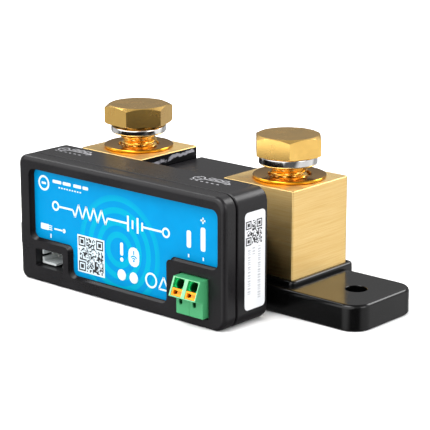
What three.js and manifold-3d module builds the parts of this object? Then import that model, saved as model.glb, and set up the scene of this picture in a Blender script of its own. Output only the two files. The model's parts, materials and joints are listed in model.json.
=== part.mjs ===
// Battery monitor shunt: two brass terminal blocks joined by resistor strips on a moulded base with
// two screw ears, with the measuring electronics in a flat plastic enclosure along the front.
// X runs along the length, the labelled front faces -Y, Z is up. The origin is on the underside of
// the base, midway between the two ear holes. Millimetres.

import * as THREE from 'three';
import { mergeVertices } from 'three/addons/utils/BufferGeometryUtils.js';
import Module from 'manifold-3d';

const wasm = await Module();
wasm.setup();

// ---- driving dimensions ---------------------------------------------------------------------

const CLEARANCE = 0.3;
const FILM_GAP = 0.05;
const ROUND_SEGMENTS = 32;
const SMALL_SEGMENTS = 16;

const BASE = {
  length: 120, depth: 24.2, thickness: 6.7, floor: 3, cornerRadius: 5,
  earHoleX: 50.4, earHoleRadius: 2.9,
  edgeRadius: 0.7, collarWidth: 1.3, collarTop: 7.9, collarRadius: 1.6, back: 15.6,
  apronHalfWidth: 12, apronHeight: 5,
};

const BLOCK = { innerX: 14.3, outerX: 36.8, front: -8.1, back: 14.2, top: 30.3 };
const BLOCK_BOTTOM = BASE.floor + CLEARANCE;

const BOLT = {
  x: 25.9, y: 3.3, pitch: 1.5, threadRadius: 4.9, shankLength: 20, boreRadius: 5.2, boreBottom: 12,
  acrossFlats: 16, headHeight: 5.1, chamferRadius: 7.7, chamferDrop: 0.8,
};
const FLAT_WASHER = { outerRadius: 9.3, innerRadius: 5.3, thickness: 1.35 };
const SPRING_WASHER = { outerRadius: 7.4, innerRadius: 5.15, thickness: 1.9, splitWidth: 0.9 };
const HEAD_OVER_WASHER = 0.35;
// Each bolt stands loosened by whole half turns: the free gap under its spring washer.
const LOOSE_TURNS = { load: 2, battery: 1.5 };
const WASHER_REST_GAP = 0.05;
const HEX_VERTEX_ANGLE = { load: -66.9, battery: -48.9 };

const STRIP = { count: 4, thickness: 1.2, bottom: 10, top: 24.5, intoBlock: 3, firstY: -4.6, pitchY: 5.1 };

const COVER = {
  left: -34.8, right: 36.1, height: 32.9, front: -32.5, rearFace: -28.3, wall: 2,
  // Corner radii in the order low-left, low-right, high-right, high-left.
  cornerRadii: [2.4, 3.6, 3.6, 2.4], innerCornerRadius: 1.2,
  frontWall: 3.2, frontFillet: 1.6, recessDepth: 1.9,
};
const HOUSING = { front: -27.8, back: -16.6, wall: 2, rearWall: 2, rearFillet: 1 };
const BOSS = { radius: 4, holeRadius: 2.7 };

const LABEL = {
  left: -30.65, right: 33.6, bottom: 3.7, top: 29.7, radius: 1.6, thickness: 0.12, margin: 0.3,
  dataNotchRight: -16.7, dataNotchTop: 11.4, plugNotchLeft: 17.1, plugNotchTop: 15.4,
};
const SIDE_LABEL = { front: -25.3, back: -17.9, bottom: 4.2, top: 28.2, radius: 1, thickness: 0.12 };

const BOARD = { left: -32.3, right: 33, bottom: 2.6, top: 30.2, front: -22.6, thickness: 1.6 };

// Small parts on the board's front face, each with how far it stands proud.
const BOARD_PARTS = [
  { name: 'processor_chip', x: [-9, -2], z: [15, 22], height: 1.4, look: 'chipBlack' },
  { name: 'radio_module', x: [-3, 9], z: [24, 29], height: 1.8, look: 'tinned' },
  { name: 'sense_amplifier', x: [12, 17], z: [18, 22], height: 1.5, look: 'chipBlack' },
  { name: 'power_inductor', x: [4, 10], z: [15, 21], height: 3, look: 'ferrite' },
  { name: 'timing_crystal', x: [-14, -11], z: [16, 18], height: 0.9, look: 'tinned' },
  { name: 'input_fuse', x: [13, 19], z: [5, 7.6], height: 2.2, look: 'ceramic' },
];
const CAPACITOR = { x: [-14, -20], z: 26, radius: 2.3, height: 4.5 };
const INDICATOR = { halfWidth: 0.8, height: 0.9 };

const DATA_PORT = {
  left: -29, right: -18.9, bottom: 4.2, top: 9, socketFront: -30.4, wall: 0.65,
  cavityBack: -24.4, slotLength: 3, slotHalfHeight: 0.35, keyFrom: 4.6, keyTo: 2,
  pinCount: 4, pinPitch: 2, pinSide: 0.5, pinFront: -28.2,
};

const PLUG = {
  left: 22, right: 30.6, bottom: 2.85, top: 12.4, back: -24.6, lowerFace: -34.1, undercutZ: 6.9,
  noseY: -36.9, noseZ: 7.8, brow: -35, poles: 2, openingMargin: 0.4,
  entryRadius: 1.3, entryDepth: 7, leverHeight: 2.2, leverDepth: 2.6, leverTravel: 0.8,
  leverMargin: 0.75, leverClearance: 0.2, leverAboveNose: 0.55,
  testHoleRadius: 0.5, testHoleZ: 5.6, testHoleOffset: -0.6,
};
// The wire clamp in each pole of the plug sits in a socket at the plug's back.
const CLAMP = { halfWidth: 1.1, bottom: 4.3, top: 6.7, wall: 0.5, depth: 5.6, room: 0.3 };
const HEADER = { wall: 0.6, backWall: 1.4, top: 12.6, pinHalf: 0.35, pinZ: 5.5, pinReach: 4 };

const LIGHT_PIPE = { x: [0.45, 4.6], z: 7.15, radius: 1.45, back: -24.4 };
const SENSE = {
  x: 22, z: 20, postRadius: 2.4, screwRadius: 1.4, headRadius: 2.6, headHeight: 1.6, intoBlock: 5,
  slotReach: 2, slotHalfWidth: 0.35, slotDepth: 0.7,
};
const BASE_SCREW = {
  insetX: 6, frontY: -4, backY: 10, shankRadius: 1.9, headRadius: 3.6, headHeight: 1.3, intoBlock: 7,
  driveReach: 2.2, driveHalfWidth: 0.35, driveDepth: 0.7,
};
const MIDDLE_COVER = { top: 27, wall: 1.6, halfWidth: 13.9, back: 15.2, front: -16.2 };

// ---- materials --------------------------------------------------------------------------------

function material(color, roughness, metalness) {
  return new THREE.MeshStandardMaterial({ color, roughness, metalness });
}

const MATERIALS = {
  brass: () => material(0xe0b566, 0.35, 1),
  polishedBrass: () => material(0xdca23e, 0.18, 1),
  steel: () => material(0xd8d8d8, 0.15, 1),
  manganin: () => material(0xb08d78, 0.4, 1),
  blackPlastic: () => material(0x29292b, 0.4, 0),
  glossBlack: () => material(0x151516, 0.2, 0),
  blueFilm: () => material(0x06a5ec, 0.4, 0),
  whitePaper: () => material(0xf2f4f6, 0.6, 0),
  greenPlastic: () => material(0x4fb873, 0.4, 0),
  orangePlastic: () => material(0xf79a1e, 0.4, 0),
  whitePlastic: () => material(0xe6e6e0, 0.5, 0),
  boardGreen: () => material(0x1d5a34, 0.5, 0),
  chipBlack: () => material(0x1a1a1c, 0.5, 0),
  tinned: () => material(0xc9c9c4, 0.3, 1),
  ferrite: () => material(0x4a4744, 0.6, 0),
  ceramic: () => material(0xa88a66, 0.5, 0),
};

// ---- geometry helpers -------------------------------------------------------------------------

function toSolid(geometry) {
  const bare = geometry.clone();
  bare.deleteAttribute('normal');
  bare.deleteAttribute('uv');
  const merged = mergeVertices(bare, 1e-4);
  return new wasm.Manifold(new wasm.Mesh({
    numProp: 3,
    vertProperties: new Float32Array(merged.attributes.position.array),
    triVerts: new Uint32Array(merged.index.array),
  }));
}

function toGeometry(solid) {
  const mesh = solid.getMesh();
  const geometry = new THREE.BufferGeometry();
  geometry.setAttribute('position', new THREE.BufferAttribute(new Float32Array(mesh.vertProperties), 3));
  geometry.setIndex(new THREE.BufferAttribute(new Uint32Array(mesh.triVerts), 1));
  geometry.computeVertexNormals();
  return geometry;
}

function cut(body, ...tools) {
  return tools.reduce((result, tool) => result.subtract(tool), body);
}

function join(first, ...others) {
  return others.reduce((result, other) => result.add(other), first);
}

// A box given by its low and high limits on each axis.
function box([x0, x1], [y0, y1], [z0, z1]) {
  const geometry = new THREE.BoxGeometry(x1 - x0, y1 - y0, z1 - z0);
  geometry.translate((x0 + x1) / 2, (y0 + y1) / 2, (z0 + z1) / 2);
  return toSolid(geometry);
}

function cylinderZ(radius, [z0, z1], x = 0, y = 0, segments = ROUND_SEGMENTS) {
  const geometry = new THREE.CylinderGeometry(radius, radius, z1 - z0, segments);
  geometry.rotateX(Math.PI / 2);
  geometry.translate(x, y, (z0 + z1) / 2);
  return toSolid(geometry);
}

function cylinderY(radius, [y0, y1], x = 0, z = 0, segments = SMALL_SEGMENTS) {
  const geometry = new THREE.CylinderGeometry(radius, radius, y1 - y0, segments);
  geometry.translate(x, (y0 + y1) / 2, z);
  return toSolid(geometry);
}

// A rectangle with one radius per corner, in the order low-left, low-right, high-right, high-left.
function roundedRectangle([u0, u1], [v0, v1], radii) {
  const [a, b, c, d] = Array.isArray(radii) ? radii : [radii, radii, radii, radii];
  const shape = new THREE.Shape();
  shape.moveTo(u0 + a, v0);
  shape.lineTo(u1 - b, v0);
  if (b > 0) shape.absarc(u1 - b, v0 + b, b, -Math.PI / 2, 0, false);
  shape.lineTo(u1, v1 - c);
  if (c > 0) shape.absarc(u1 - c, v1 - c, c, 0, Math.PI / 2, false);
  shape.lineTo(u0 + d, v1);
  if (d > 0) shape.absarc(u0 + d, v1 - d, d, Math.PI / 2, Math.PI, false);
  shape.lineTo(u0, v0 + a);
  if (a > 0) shape.absarc(u0 + a, v0 + a, a, Math.PI, Math.PI * 1.5, false);
  return shape;
}

function extrudeOptions(depth, bevel, curveSegments) {
  return {
    depth: depth - 2 * bevel, curveSegments, bevelEnabled: bevel > 0,
    bevelThickness: bevel, bevelSize: bevel, bevelOffset: -bevel, bevelSegments: 2,
  };
}

// Extrudes a shape drawn in X and Z along Y, with an optional bevel round both ends.
function prismY(shape, [y0, y1], bevel = 0, curveSegments = 6) {
  const geometry = new THREE.ExtrudeGeometry(shape, extrudeOptions(y1 - y0, bevel, curveSegments));
  geometry.rotateX(Math.PI / 2);
  geometry.translate(0, y1 - bevel, 0);
  return toSolid(geometry);
}

// Extrudes a shape drawn in X and Y along Z.
function prismZ(shape, [z0, z1], bevel = 0, curveSegments = 5) {
  const geometry = new THREE.ExtrudeGeometry(shape, extrudeOptions(z1 - z0, bevel, curveSegments));
  geometry.translate(0, 0, z0 + bevel);
  return toSolid(geometry);
}

// Extrudes a closed outline of [y, z] points along X.
function prismX(points, [x0, x1]) {
  const shape = new THREE.Shape(points.map(([y, z]) => new THREE.Vector2(y, z)));
  const geometry = new THREE.ExtrudeGeometry(shape, { depth: x1 - x0, bevelEnabled: false });
  geometry.applyMatrix4(new THREE.Matrix4().set(0, 0, 1, x0, 1, 0, 0, 0, 0, 1, 0, 0, 0, 0, 0, 1));
  return toSolid(geometry);
}

const assembly = new THREE.Group();

function addPart(name, solid, makeMaterial) {
  const mesh = new THREE.Mesh(toGeometry(solid), makeMaterial());
  mesh.name = name;
  assembly.add(mesh);
}

// The two ends of the shunt: the load side at -X and the battery side at +X.
const SIDES = [
  { name: 'load', sign: -1 },
  { name: 'battery', sign: 1 },
];

function mirroredSpan(sign, low, high) {
  return sign > 0 ? [low, high] : [-high, -low];
}

// ---- base -------------------------------------------------------------------------------------

function baseScrewPlaces(sign) {
  const inner = BLOCK.innerX + BASE_SCREW.insetX;
  const outer = BLOCK.outerX - BASE_SCREW.insetX;
  return [[sign * inner, BASE_SCREW.frontY], [sign * outer, BASE_SCREW.backY]];
}

function makeBase() {
  const halfLength = BASE.length / 2;
  const halfDepth = BASE.depth / 2;
  const collarX = BLOCK.outerX + BASE.collarWidth;
  let body = prismZ(
    roundedRectangle([-halfLength, halfLength], [-halfDepth, halfDepth], BASE.cornerRadius),
    [0, BASE.thickness], BASE.edgeRadius,
  );
  const backRadii = [0, 0, BASE.collarRadius, BASE.collarRadius];
  const underBlocks = roundedRectangle([-collarX, collarX], [0, BASE.back], backRadii);
  body = join(body, prismZ(underBlocks, [0, BASE.thickness]));
  const apron = box(
    [-BASE.apronHalfWidth, BASE.apronHalfWidth],
    [HOUSING.back + CLEARANCE, 0], [0, BASE.apronHeight],
  );
  body = join(body, apron);
  for (const { sign } of SIDES) {
    const collarShape = roundedRectangle(
      mirroredSpan(sign, BLOCK.innerX - BASE.collarWidth, collarX),
      [BLOCK.front - BASE.collarWidth, BASE.back], BASE.collarRadius,
    );
    body = join(body, prismZ(collarShape, [BASE.thickness - 1, BASE.collarTop]));
    const pocket = box(
      mirroredSpan(sign, BLOCK.innerX - CLEARANCE, BLOCK.outerX + CLEARANCE),
      [BLOCK.front - CLEARANCE, BLOCK.back + CLEARANCE], [BASE.floor, BASE.collarTop + 1],
    );
    const earHole = cylinderZ(BASE.earHoleRadius, [-1, BASE.thickness + 1], sign * BASE.earHoleX, 0);
    body = cut(body, pocket, earHole);
    for (const [x, y] of baseScrewPlaces(sign)) {
      const shankHole = cylinderZ(
        BASE_SCREW.shankRadius + CLEARANCE, [-1, BASE.floor + 1], x, y, SMALL_SEGMENTS,
      );
      const headSeat = cylinderZ(
        BASE_SCREW.headRadius + CLEARANCE, [-1, BASE_SCREW.headHeight + 2 * CLEARANCE], x, y,
      );
      body = cut(body, shankHole, headSeat);
    }
  }
  addPart('base_tray', body, MATERIALS.glossBlack);
}

function makeBaseScrews() {
  let number = 1;
  for (const { sign } of SIDES) {
    for (const [x, y] of baseScrewPlaces(sign)) {
      const head = cylinderZ(
        BASE_SCREW.headRadius, [CLEARANCE, CLEARANCE + BASE_SCREW.headHeight], x, y, SMALL_SEGMENTS,
      );
      const shankTop = BLOCK_BOTTOM + BASE_SCREW.intoBlock;
      const shank = cylinderZ(BASE_SCREW.shankRadius, [CLEARANCE * 2, shankTop], x, y, SMALL_SEGMENTS);
      const { driveReach: reach, driveHalfWidth: half } = BASE_SCREW;
      const driveSpan = [0, CLEARANCE + BASE_SCREW.driveDepth];
      const driveSlot = box([x - reach, x + reach], [y - half, y + half], driveSpan);
      const crossSlot = box([x - half, x + half], [y - reach, y + reach], driveSpan);
      addPart(`base_screw_${number}`, cut(join(head, shank), driveSlot, crossSlot), MATERIALS.steel);
      number += 1;
    }
  }
}

// ---- terminal blocks and the resistor strips between them -------------------------------------

function stripY(index) {
  return STRIP.firstY + index * STRIP.pitchY;
}

function makeTerminalBlock({ name, sign }) {
  let body = box(
    mirroredSpan(sign, BLOCK.innerX, BLOCK.outerX), [BLOCK.front, BLOCK.back], [BLOCK_BOTTOM, BLOCK.top],
  );
  const bore = cylinderZ(BOLT.boreRadius, [BOLT.boreBottom, BLOCK.top + 1], sign * BOLT.x, BOLT.y);
  const senseHole = cylinderY(
    SENSE.screwRadius + CLEARANCE, [BLOCK.front - 1, BLOCK.front + SENSE.intoBlock + 2 * CLEARANCE],
    sign * SENSE.x, SENSE.z,
  );
  body = cut(body, bore, senseHole);
  for (const [x, y] of baseScrewPlaces(sign)) {
    const hole = cylinderZ(
      BASE_SCREW.shankRadius + CLEARANCE,
      [BLOCK_BOTTOM - 1, BLOCK_BOTTOM + BASE_SCREW.intoBlock + 1], x, y, SMALL_SEGMENTS,
    );
    body = cut(body, hole);
  }
  for (let index = 0; index < STRIP.count; index += 1) {
    const y = stripY(index);
    const half = STRIP.thickness / 2 + CLEARANCE;
    const slot = box(
      mirroredSpan(sign, BLOCK.innerX - 1, BLOCK.innerX + STRIP.intoBlock + CLEARANCE),
      [y - half, y + half], [STRIP.bottom - CLEARANCE, STRIP.top + CLEARANCE],
    );
    body = cut(body, slot);
  }
  addPart(`${name}_block`, body, MATERIALS.brass);
}

function makeResistorStrips() {
  const reach = BLOCK.innerX + STRIP.intoBlock;
  for (let index = 0; index < STRIP.count; index += 1) {
    const y = stripY(index);
    const half = STRIP.thickness / 2;
    const strip = box([-reach, reach], [y - half, y + half], [STRIP.bottom, STRIP.top]);
    // The shallow notch in the lower edge is where the strip is filed to set its resistance.
    const trimNotch = box([-2, 2], [y - 1, y + 1], [STRIP.bottom - 1, STRIP.bottom + 1 + index * 0.4]);
    addPart(`resistor_strip_${index + 1}`, cut(strip, trimNotch), MATERIALS.manganin);
  }
}

// ---- terminal bolts and washers ---------------------------------------------------------------

function springWasherBottom(name) {
  return BLOCK.top + FLAT_WASHER.thickness + LOOSE_TURNS[name] * BOLT.pitch + 2 * WASHER_REST_GAP;
}

function headBottom(name) {
  return springWasherBottom(name) + SPRING_WASHER.thickness + HEAD_OVER_WASHER;
}

function ring(outerRadius, innerRadius, [z0, z1], x, y) {
  return cut(cylinderZ(outerRadius, [z0, z1], x, y), cylinderZ(innerRadius, [z0 - 1, z1 + 1], x, y));
}

function makeFlatWasher({ name, sign }) {
  const bottom = BLOCK.top + WASHER_REST_GAP;
  const washer = ring(
    FLAT_WASHER.outerRadius, FLAT_WASHER.innerRadius,
    [bottom, bottom + FLAT_WASHER.thickness], sign * BOLT.x, BOLT.y,
  );
  addPart(`${name}_flat_washer`, washer, MATERIALS.polishedBrass);
}

function makeSpringWasher({ name, sign }) {
  const bottom = springWasherBottom(name);
  const span = [bottom, bottom + SPRING_WASHER.thickness];
  const washer = ring(
    SPRING_WASHER.outerRadius, SPRING_WASHER.innerRadius, span, sign * BOLT.x, BOLT.y,
  );
  const x = sign * BOLT.x;
  const half = SPRING_WASHER.splitWidth / 2;
  const split = box([x - half, x + half], [BOLT.y, BOLT.y + 10], [span[0] - 1, span[1] + 1]);
  addPart(`${name}_spring_washer`, cut(washer, split), MATERIALS.steel);
}

function makeBolt({ name, sign }) {
  const bottom = headBottom(name);
  const top = bottom + BOLT.headHeight;
  const vertexRadius = BOLT.acrossFlats / Math.sqrt(3);
  const hexagon = new THREE.Shape();
  for (let corner = 0; corner < 6; corner += 1) {
    const angle = THREE.MathUtils.degToRad(HEX_VERTEX_ANGLE[name] + corner * 60);
    const point = [vertexRadius * Math.cos(angle), vertexRadius * Math.sin(angle)];
    if (corner === 0) hexagon.moveTo(...point);
    else hexagon.lineTo(...point);
  }
  const prism = prismZ(hexagon, [bottom, top]);
  // The turned chamfer takes the corners off the top of the hexagon.
  const chamferProfile = [
    [0, bottom - 1], [vertexRadius + 1, bottom - 1],
    [vertexRadius + 1, top - BOLT.chamferDrop * 1.6], [BOLT.chamferRadius, top], [0, top],
  ].map(([r, z]) => new THREE.Vector2(r, z));
  const chamfer = new THREE.LatheGeometry(chamferProfile, ROUND_SEGMENTS);
  chamfer.rotateX(Math.PI / 2);
  const head = prism.intersect(toSolid(chamfer));
  const tip = bottom - BOLT.shankLength;
  const shankProfile = [
    [0, tip], [BOLT.threadRadius - 1, tip], [BOLT.threadRadius, tip + 1],
    [BOLT.threadRadius, bottom + 1], [0, bottom + 1],
  ].map(([r, z]) => new THREE.Vector2(r, z));
  const shank = new THREE.LatheGeometry(shankProfile, ROUND_SEGMENTS);
  shank.rotateX(Math.PI / 2);
  const bolt = join(head, toSolid(shank)).translate([sign * BOLT.x, BOLT.y, 0]);
  addPart(`${name}_bolt`, bolt, MATERIALS.brass);
}

// ---- enclosure --------------------------------------------------------------------------------

const ENCLOSURE_OUTLINE = roundedRectangle(
  [COVER.left, COVER.right], [0, COVER.height], COVER.cornerRadii,
);

function innerOutline(wall) {
  return roundedRectangle(
    [COVER.left + wall, COVER.right - wall], [wall, COVER.height - wall],
    COVER.innerCornerRadius,
  );
}

// The label area is a rectangle less the two raised port surrounds in its lower corners; the inset
// is positive for the film and negative for the recess that holds it.
function labelOutline(inset) {
  const left = LABEL.left + inset;
  const right = LABEL.right - inset;
  const bottom = LABEL.bottom + inset;
  const top = LABEL.top - inset;
  const dataRight = LABEL.dataNotchRight + inset;
  const dataTop = LABEL.dataNotchTop + inset;
  const plugLeft = LABEL.plugNotchLeft - inset;
  const plugTop = LABEL.plugNotchTop + inset;
  const r = LABEL.radius;
  const quarter = Math.PI / 2;
  const shape = new THREE.Shape();
  shape.moveTo(dataRight + r, bottom);
  shape.lineTo(plugLeft - r, bottom);
  shape.absarc(plugLeft - r, bottom + r, r, -quarter, 0, false);
  shape.lineTo(plugLeft, plugTop - r);
  shape.absarc(plugLeft + r, plugTop - r, r, 2 * quarter, quarter, true);
  shape.lineTo(right - r, plugTop);
  shape.absarc(right - r, plugTop + r, r, -quarter, 0, false);
  shape.lineTo(right, top - r);
  shape.absarc(right - r, top - r, r, 0, quarter, false);
  shape.lineTo(left + r, top);
  shape.absarc(left + r, top - r, r, quarter, 2 * quarter, false);
  shape.lineTo(left, dataTop + r);
  shape.absarc(left + r, dataTop + r, r, 2 * quarter, 3 * quarter, false);
  shape.lineTo(dataRight - r, dataTop);
  shape.absarc(dataRight - r, dataTop - r, r, quarter, 0, true);
  shape.lineTo(dataRight, bottom + r);
  shape.absarc(dataRight + r, bottom + r, r, 2 * quarter, 3 * quarter, false);
  return shape;
}

const RECESS_FLOOR = COVER.front + COVER.recessDepth;

function makeFrontCover() {
  const outer = prismY(ENCLOSURE_OUTLINE, [COVER.front, COVER.rearFace + 6], COVER.frontFillet);
  const wide = COVER.right + 1;
  const behind = box([-wide, wide], [COVER.rearFace, COVER.rearFace + 10], [-1, COVER.height + 1]);
  const inside = prismY(innerOutline(COVER.wall), [COVER.front + COVER.frontWall, COVER.rearFace + 1]);
  const recess = prismY(labelOutline(-LABEL.margin), [COVER.front - 1, RECESS_FLOOR]);
  const through = [COVER.front - 1, COVER.front + COVER.frontWall + 1];
  const dataOpening = box([DATA_PORT.left, DATA_PORT.right], through, [DATA_PORT.bottom, DATA_PORT.top]);
  const margin = PLUG.openingMargin;
  const plugOpening = box(
    [PLUG.left - margin, PLUG.right + margin], through, [PLUG.bottom - margin, PLUG.top + margin],
  );
  const pipeHoles = LIGHT_PIPE.x.map((x) => cylinderY(
    LIGHT_PIPE.radius + CLEARANCE, through, x, LIGHT_PIPE.z,
  ));
  addPart(
    'front_cover', cut(outer, behind, inside, recess, dataOpening, plugOpening, ...pipeHoles),
    MATERIALS.blackPlastic,
  );
}

function makeRearHousing() {
  const outer = prismY(ENCLOSURE_OUTLINE, [HOUSING.front - 6, HOUSING.back], HOUSING.rearFillet);
  const wide = COVER.right + 1;
  const ahead = box([-wide, wide], [HOUSING.front - 10, HOUSING.front], [-1, COVER.height + 1]);
  const inside = prismY(innerOutline(HOUSING.wall), [HOUSING.front - 1, HOUSING.back - HOUSING.rearWall]);
  let body = cut(outer, ahead, inside);
  for (const { sign } of SIDES) {
    const bossSpan = [HOUSING.back - 1, BLOCK.front - CLEARANCE];
    const boss = cylinderY(BOSS.radius, bossSpan, sign * SENSE.x, SENSE.z, ROUND_SEGMENTS);
    const hole = cylinderY(BOSS.holeRadius, [HOUSING.back - 4, BLOCK.front], sign * SENSE.x, SENSE.z);
    body = cut(join(body, boss), hole);
  }
  addPart('rear_housing', body, MATERIALS.blackPlastic);
}

// A black bridge over the strips: a roof, a back wall, and side walls ahead of the blocks.
function makeMiddleCover() {
  const { top, wall, halfWidth, back, front } = MIDDLE_COVER;
  const bottom = BASE.collarTop + CLEARANCE;
  const roof = box([-halfWidth, halfWidth], [front, back], [top - wall, top]);
  const backWall = box([-halfWidth, halfWidth], [back - wall, back], [bottom, top - wall / 2]);
  const neck = SIDES.map(({ sign }) => box(
    mirroredSpan(sign, halfWidth - wall, halfWidth),
    [front, BLOCK.front - BASE.collarWidth - CLEARANCE], [BASE.thickness + CLEARANCE, top - wall / 2],
  ));
  addPart('middle_cover', join(roof, backWall, ...neck), MATERIALS.blackPlastic);
}

function makeLabels() {
  const filmFront = RECESS_FLOOR - FILM_GAP - LABEL.thickness;
  const film = prismY(labelOutline(0), [filmFront, filmFront + LABEL.thickness]);
  const pipeHoles = LIGHT_PIPE.x.map((x) => cylinderY(
    LIGHT_PIPE.radius + CLEARANCE, [filmFront - 1, filmFront + 1], x, LIGHT_PIPE.z,
  ));
  addPart('front_label', cut(film, ...pipeHoles), MATERIALS.blueFilm);

  const outline = roundedRectangle(
    [SIDE_LABEL.front, SIDE_LABEL.back], [SIDE_LABEL.bottom, SIDE_LABEL.top], SIDE_LABEL.radius,
  );
  const points = outline.getPoints(4).map(({ x, y }) => [x, y]);
  const inner = COVER.right + FILM_GAP;
  addPart('side_label', prismX(points, [inner, inner + SIDE_LABEL.thickness]), MATERIALS.whitePaper);
}

// ---- circuit board and what it carries --------------------------------------------------------

function makeBoard() {
  const { left, right, bottom, top, front, thickness } = BOARD;
  let board = box([left, right], [front, front + thickness], [bottom, top]);
  for (const { sign } of SIDES) {
    const hole = cylinderY(
      SENSE.screwRadius + CLEARANCE, [front - 1, front + thickness + 1], sign * SENSE.x, SENSE.z,
    );
    board = cut(board, hole);
  }
  addPart('circuit_board', board, MATERIALS.boardGreen);
}

function makeBoardPart({ name, x, z, height, look }) {
  const foot = BOARD.front - FILM_GAP;
  addPart(name, box(x, [foot - height, foot], z), MATERIALS[look]);
}

function makeBoardParts() {
  BOARD_PARTS.forEach(makeBoardPart);
  const foot = BOARD.front - FILM_GAP;
  CAPACITOR.x.forEach((x, index) => {
    const can = cylinderY(CAPACITOR.radius, [foot - CAPACITOR.height, foot], x, CAPACITOR.z);
    addPart(`smoothing_capacitor_${index + 1}`, can, MATERIALS.tinned);
  });
  const half = INDICATOR.halfWidth;
  const lensFront = RECESS_FLOOR - LABEL.thickness - FILM_GAP;
  LIGHT_PIPE.x.forEach((x, index) => {
    makeBoardPart({
      name: `indicator_led_${index + 1}`, x: [x - half, x + half],
      z: [LIGHT_PIPE.z - half, LIGHT_PIPE.z + half], height: INDICATOR.height, look: 'whitePlastic',
    });
    const pipe = cylinderY(LIGHT_PIPE.radius, [lensFront, LIGHT_PIPE.back], x, LIGHT_PIPE.z);
    addPart(`light_pipe_${index + 1}`, pipe, MATERIALS.whitePlastic);
  });
}

function makeSenseLinks({ name, sign }) {
  const x = sign * SENSE.x;
  const boardBack = BOARD.front + BOARD.thickness;
  const post = cut(
    cylinderY(SENSE.postRadius, [boardBack + FILM_GAP, BLOCK.front - FILM_GAP], x, SENSE.z, 6),
    cylinderY(SENSE.screwRadius + 0.15, [boardBack - 1, BLOCK.front + 1], x, SENSE.z),
  );
  addPart(`${name}_sense_post`, post, MATERIALS.brass);
  const headBack = BOARD.front - FILM_GAP;
  const head = cylinderY(SENSE.headRadius, [headBack - SENSE.headHeight, headBack], x, SENSE.z);
  const shank = cylinderY(
    SENSE.screwRadius, [headBack - 0.5, BLOCK.front + SENSE.intoBlock], x, SENSE.z, SMALL_SEGMENTS,
  );
  const slot = box(
    [x - SENSE.slotReach, x + SENSE.slotReach],
    [headBack - 3, headBack - SENSE.headHeight + SENSE.slotDepth],
    [SENSE.z - SENSE.slotHalfWidth, SENSE.z + SENSE.slotHalfWidth],
  );
  addPart(`${name}_sense_screw`, cut(join(head, shank), slot), MATERIALS.steel);
}

function makeDataPort() {
  const x = [DATA_PORT.left + CLEARANCE, DATA_PORT.right - CLEARANCE];
  const z = [DATA_PORT.bottom + CLEARANCE, DATA_PORT.top - CLEARANCE];
  const wall = DATA_PORT.wall;
  const shell = box(x, [DATA_PORT.socketFront, BOARD.front - FILM_GAP], z);
  const cavity = box(
    [x[0] + wall, x[1] - wall], [DATA_PORT.socketFront - 1, DATA_PORT.cavityBack],
    [z[0] + wall, z[1] - wall],
  );
  const middleZ = (z[0] + z[1]) / 2;
  const slotSpan = [DATA_PORT.socketFront - 1, DATA_PORT.socketFront + DATA_PORT.slotLength];
  const slotHalf = DATA_PORT.slotHalfHeight;
  const sideSlots = x.map((edge) => box(
    [edge - 1, edge + 1], slotSpan, [middleZ - slotHalf, middleZ + slotHalf],
  ));
  const keySlot = box(
    [x[1] - DATA_PORT.keyFrom, x[1] - DATA_PORT.keyTo], slotSpan, [z[0] - 1, z[0] + 1],
  );
  let socket = cut(shell, cavity, ...sideSlots, keySlot);
  const middleX = (x[0] + x[1]) / 2;
  const half = DATA_PORT.pinSide / 2;
  for (let index = 0; index < DATA_PORT.pinCount; index += 1) {
    const pinX = middleX + (index - (DATA_PORT.pinCount - 1) / 2) * DATA_PORT.pinPitch;
    const grip = half + 0.15;
    const hole = box(
      [pinX - grip, pinX + grip], [DATA_PORT.cavityBack - 1, BOARD.front + 1],
      [middleZ - grip, middleZ + grip],
    );
    socket = cut(socket, hole);
    const pin = box(
      [pinX - half, pinX + half], [DATA_PORT.pinFront, BOARD.front - FILM_GAP],
      [middleZ - half, middleZ + half],
    );
    addPart(`data_pin_${index + 1}`, pin, MATERIALS.tinned);
  }
  addPart('data_socket', socket, MATERIALS.whitePlastic);
}

// ---- pluggable terminal -----------------------------------------------------------------------

const POLE_WIDTH = (PLUG.right - PLUG.left) / PLUG.poles;

function poleX(index) {
  return PLUG.left + POLE_WIDTH * (index + 0.5);
}

// Unit vectors of the sloping wire-entry face: down the slope, and square into it.
const SLOPE = new THREE.Vector2(PLUG.noseY - PLUG.brow, PLUG.noseZ - PLUG.top).normalize();
const INTO_FACE = new THREE.Vector2(-SLOPE.y, SLOPE.x);

function leverOutline(clearance) {
  const start = new THREE.Vector2(PLUG.noseY, PLUG.noseZ)
    .addScaledVector(SLOPE, clearance - PLUG.leverAboveNose);
  const along = SLOPE.clone().multiplyScalar(-(PLUG.leverHeight + 2 * clearance));
  const depth = PLUG.leverDepth + (clearance > 0 ? PLUG.leverTravel + clearance : 0);
  const lift = clearance > 0 ? 1 : 0.1;
  const outer = start.clone().addScaledVector(INTO_FACE, -lift);
  const inner = start.clone().addScaledVector(INTO_FACE, depth);
  return [
    [outer.x, outer.y], [inner.x, inner.y],
    [inner.x + along.x, inner.y + along.y], [outer.x + along.x, outer.y + along.y],
  ];
}

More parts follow.
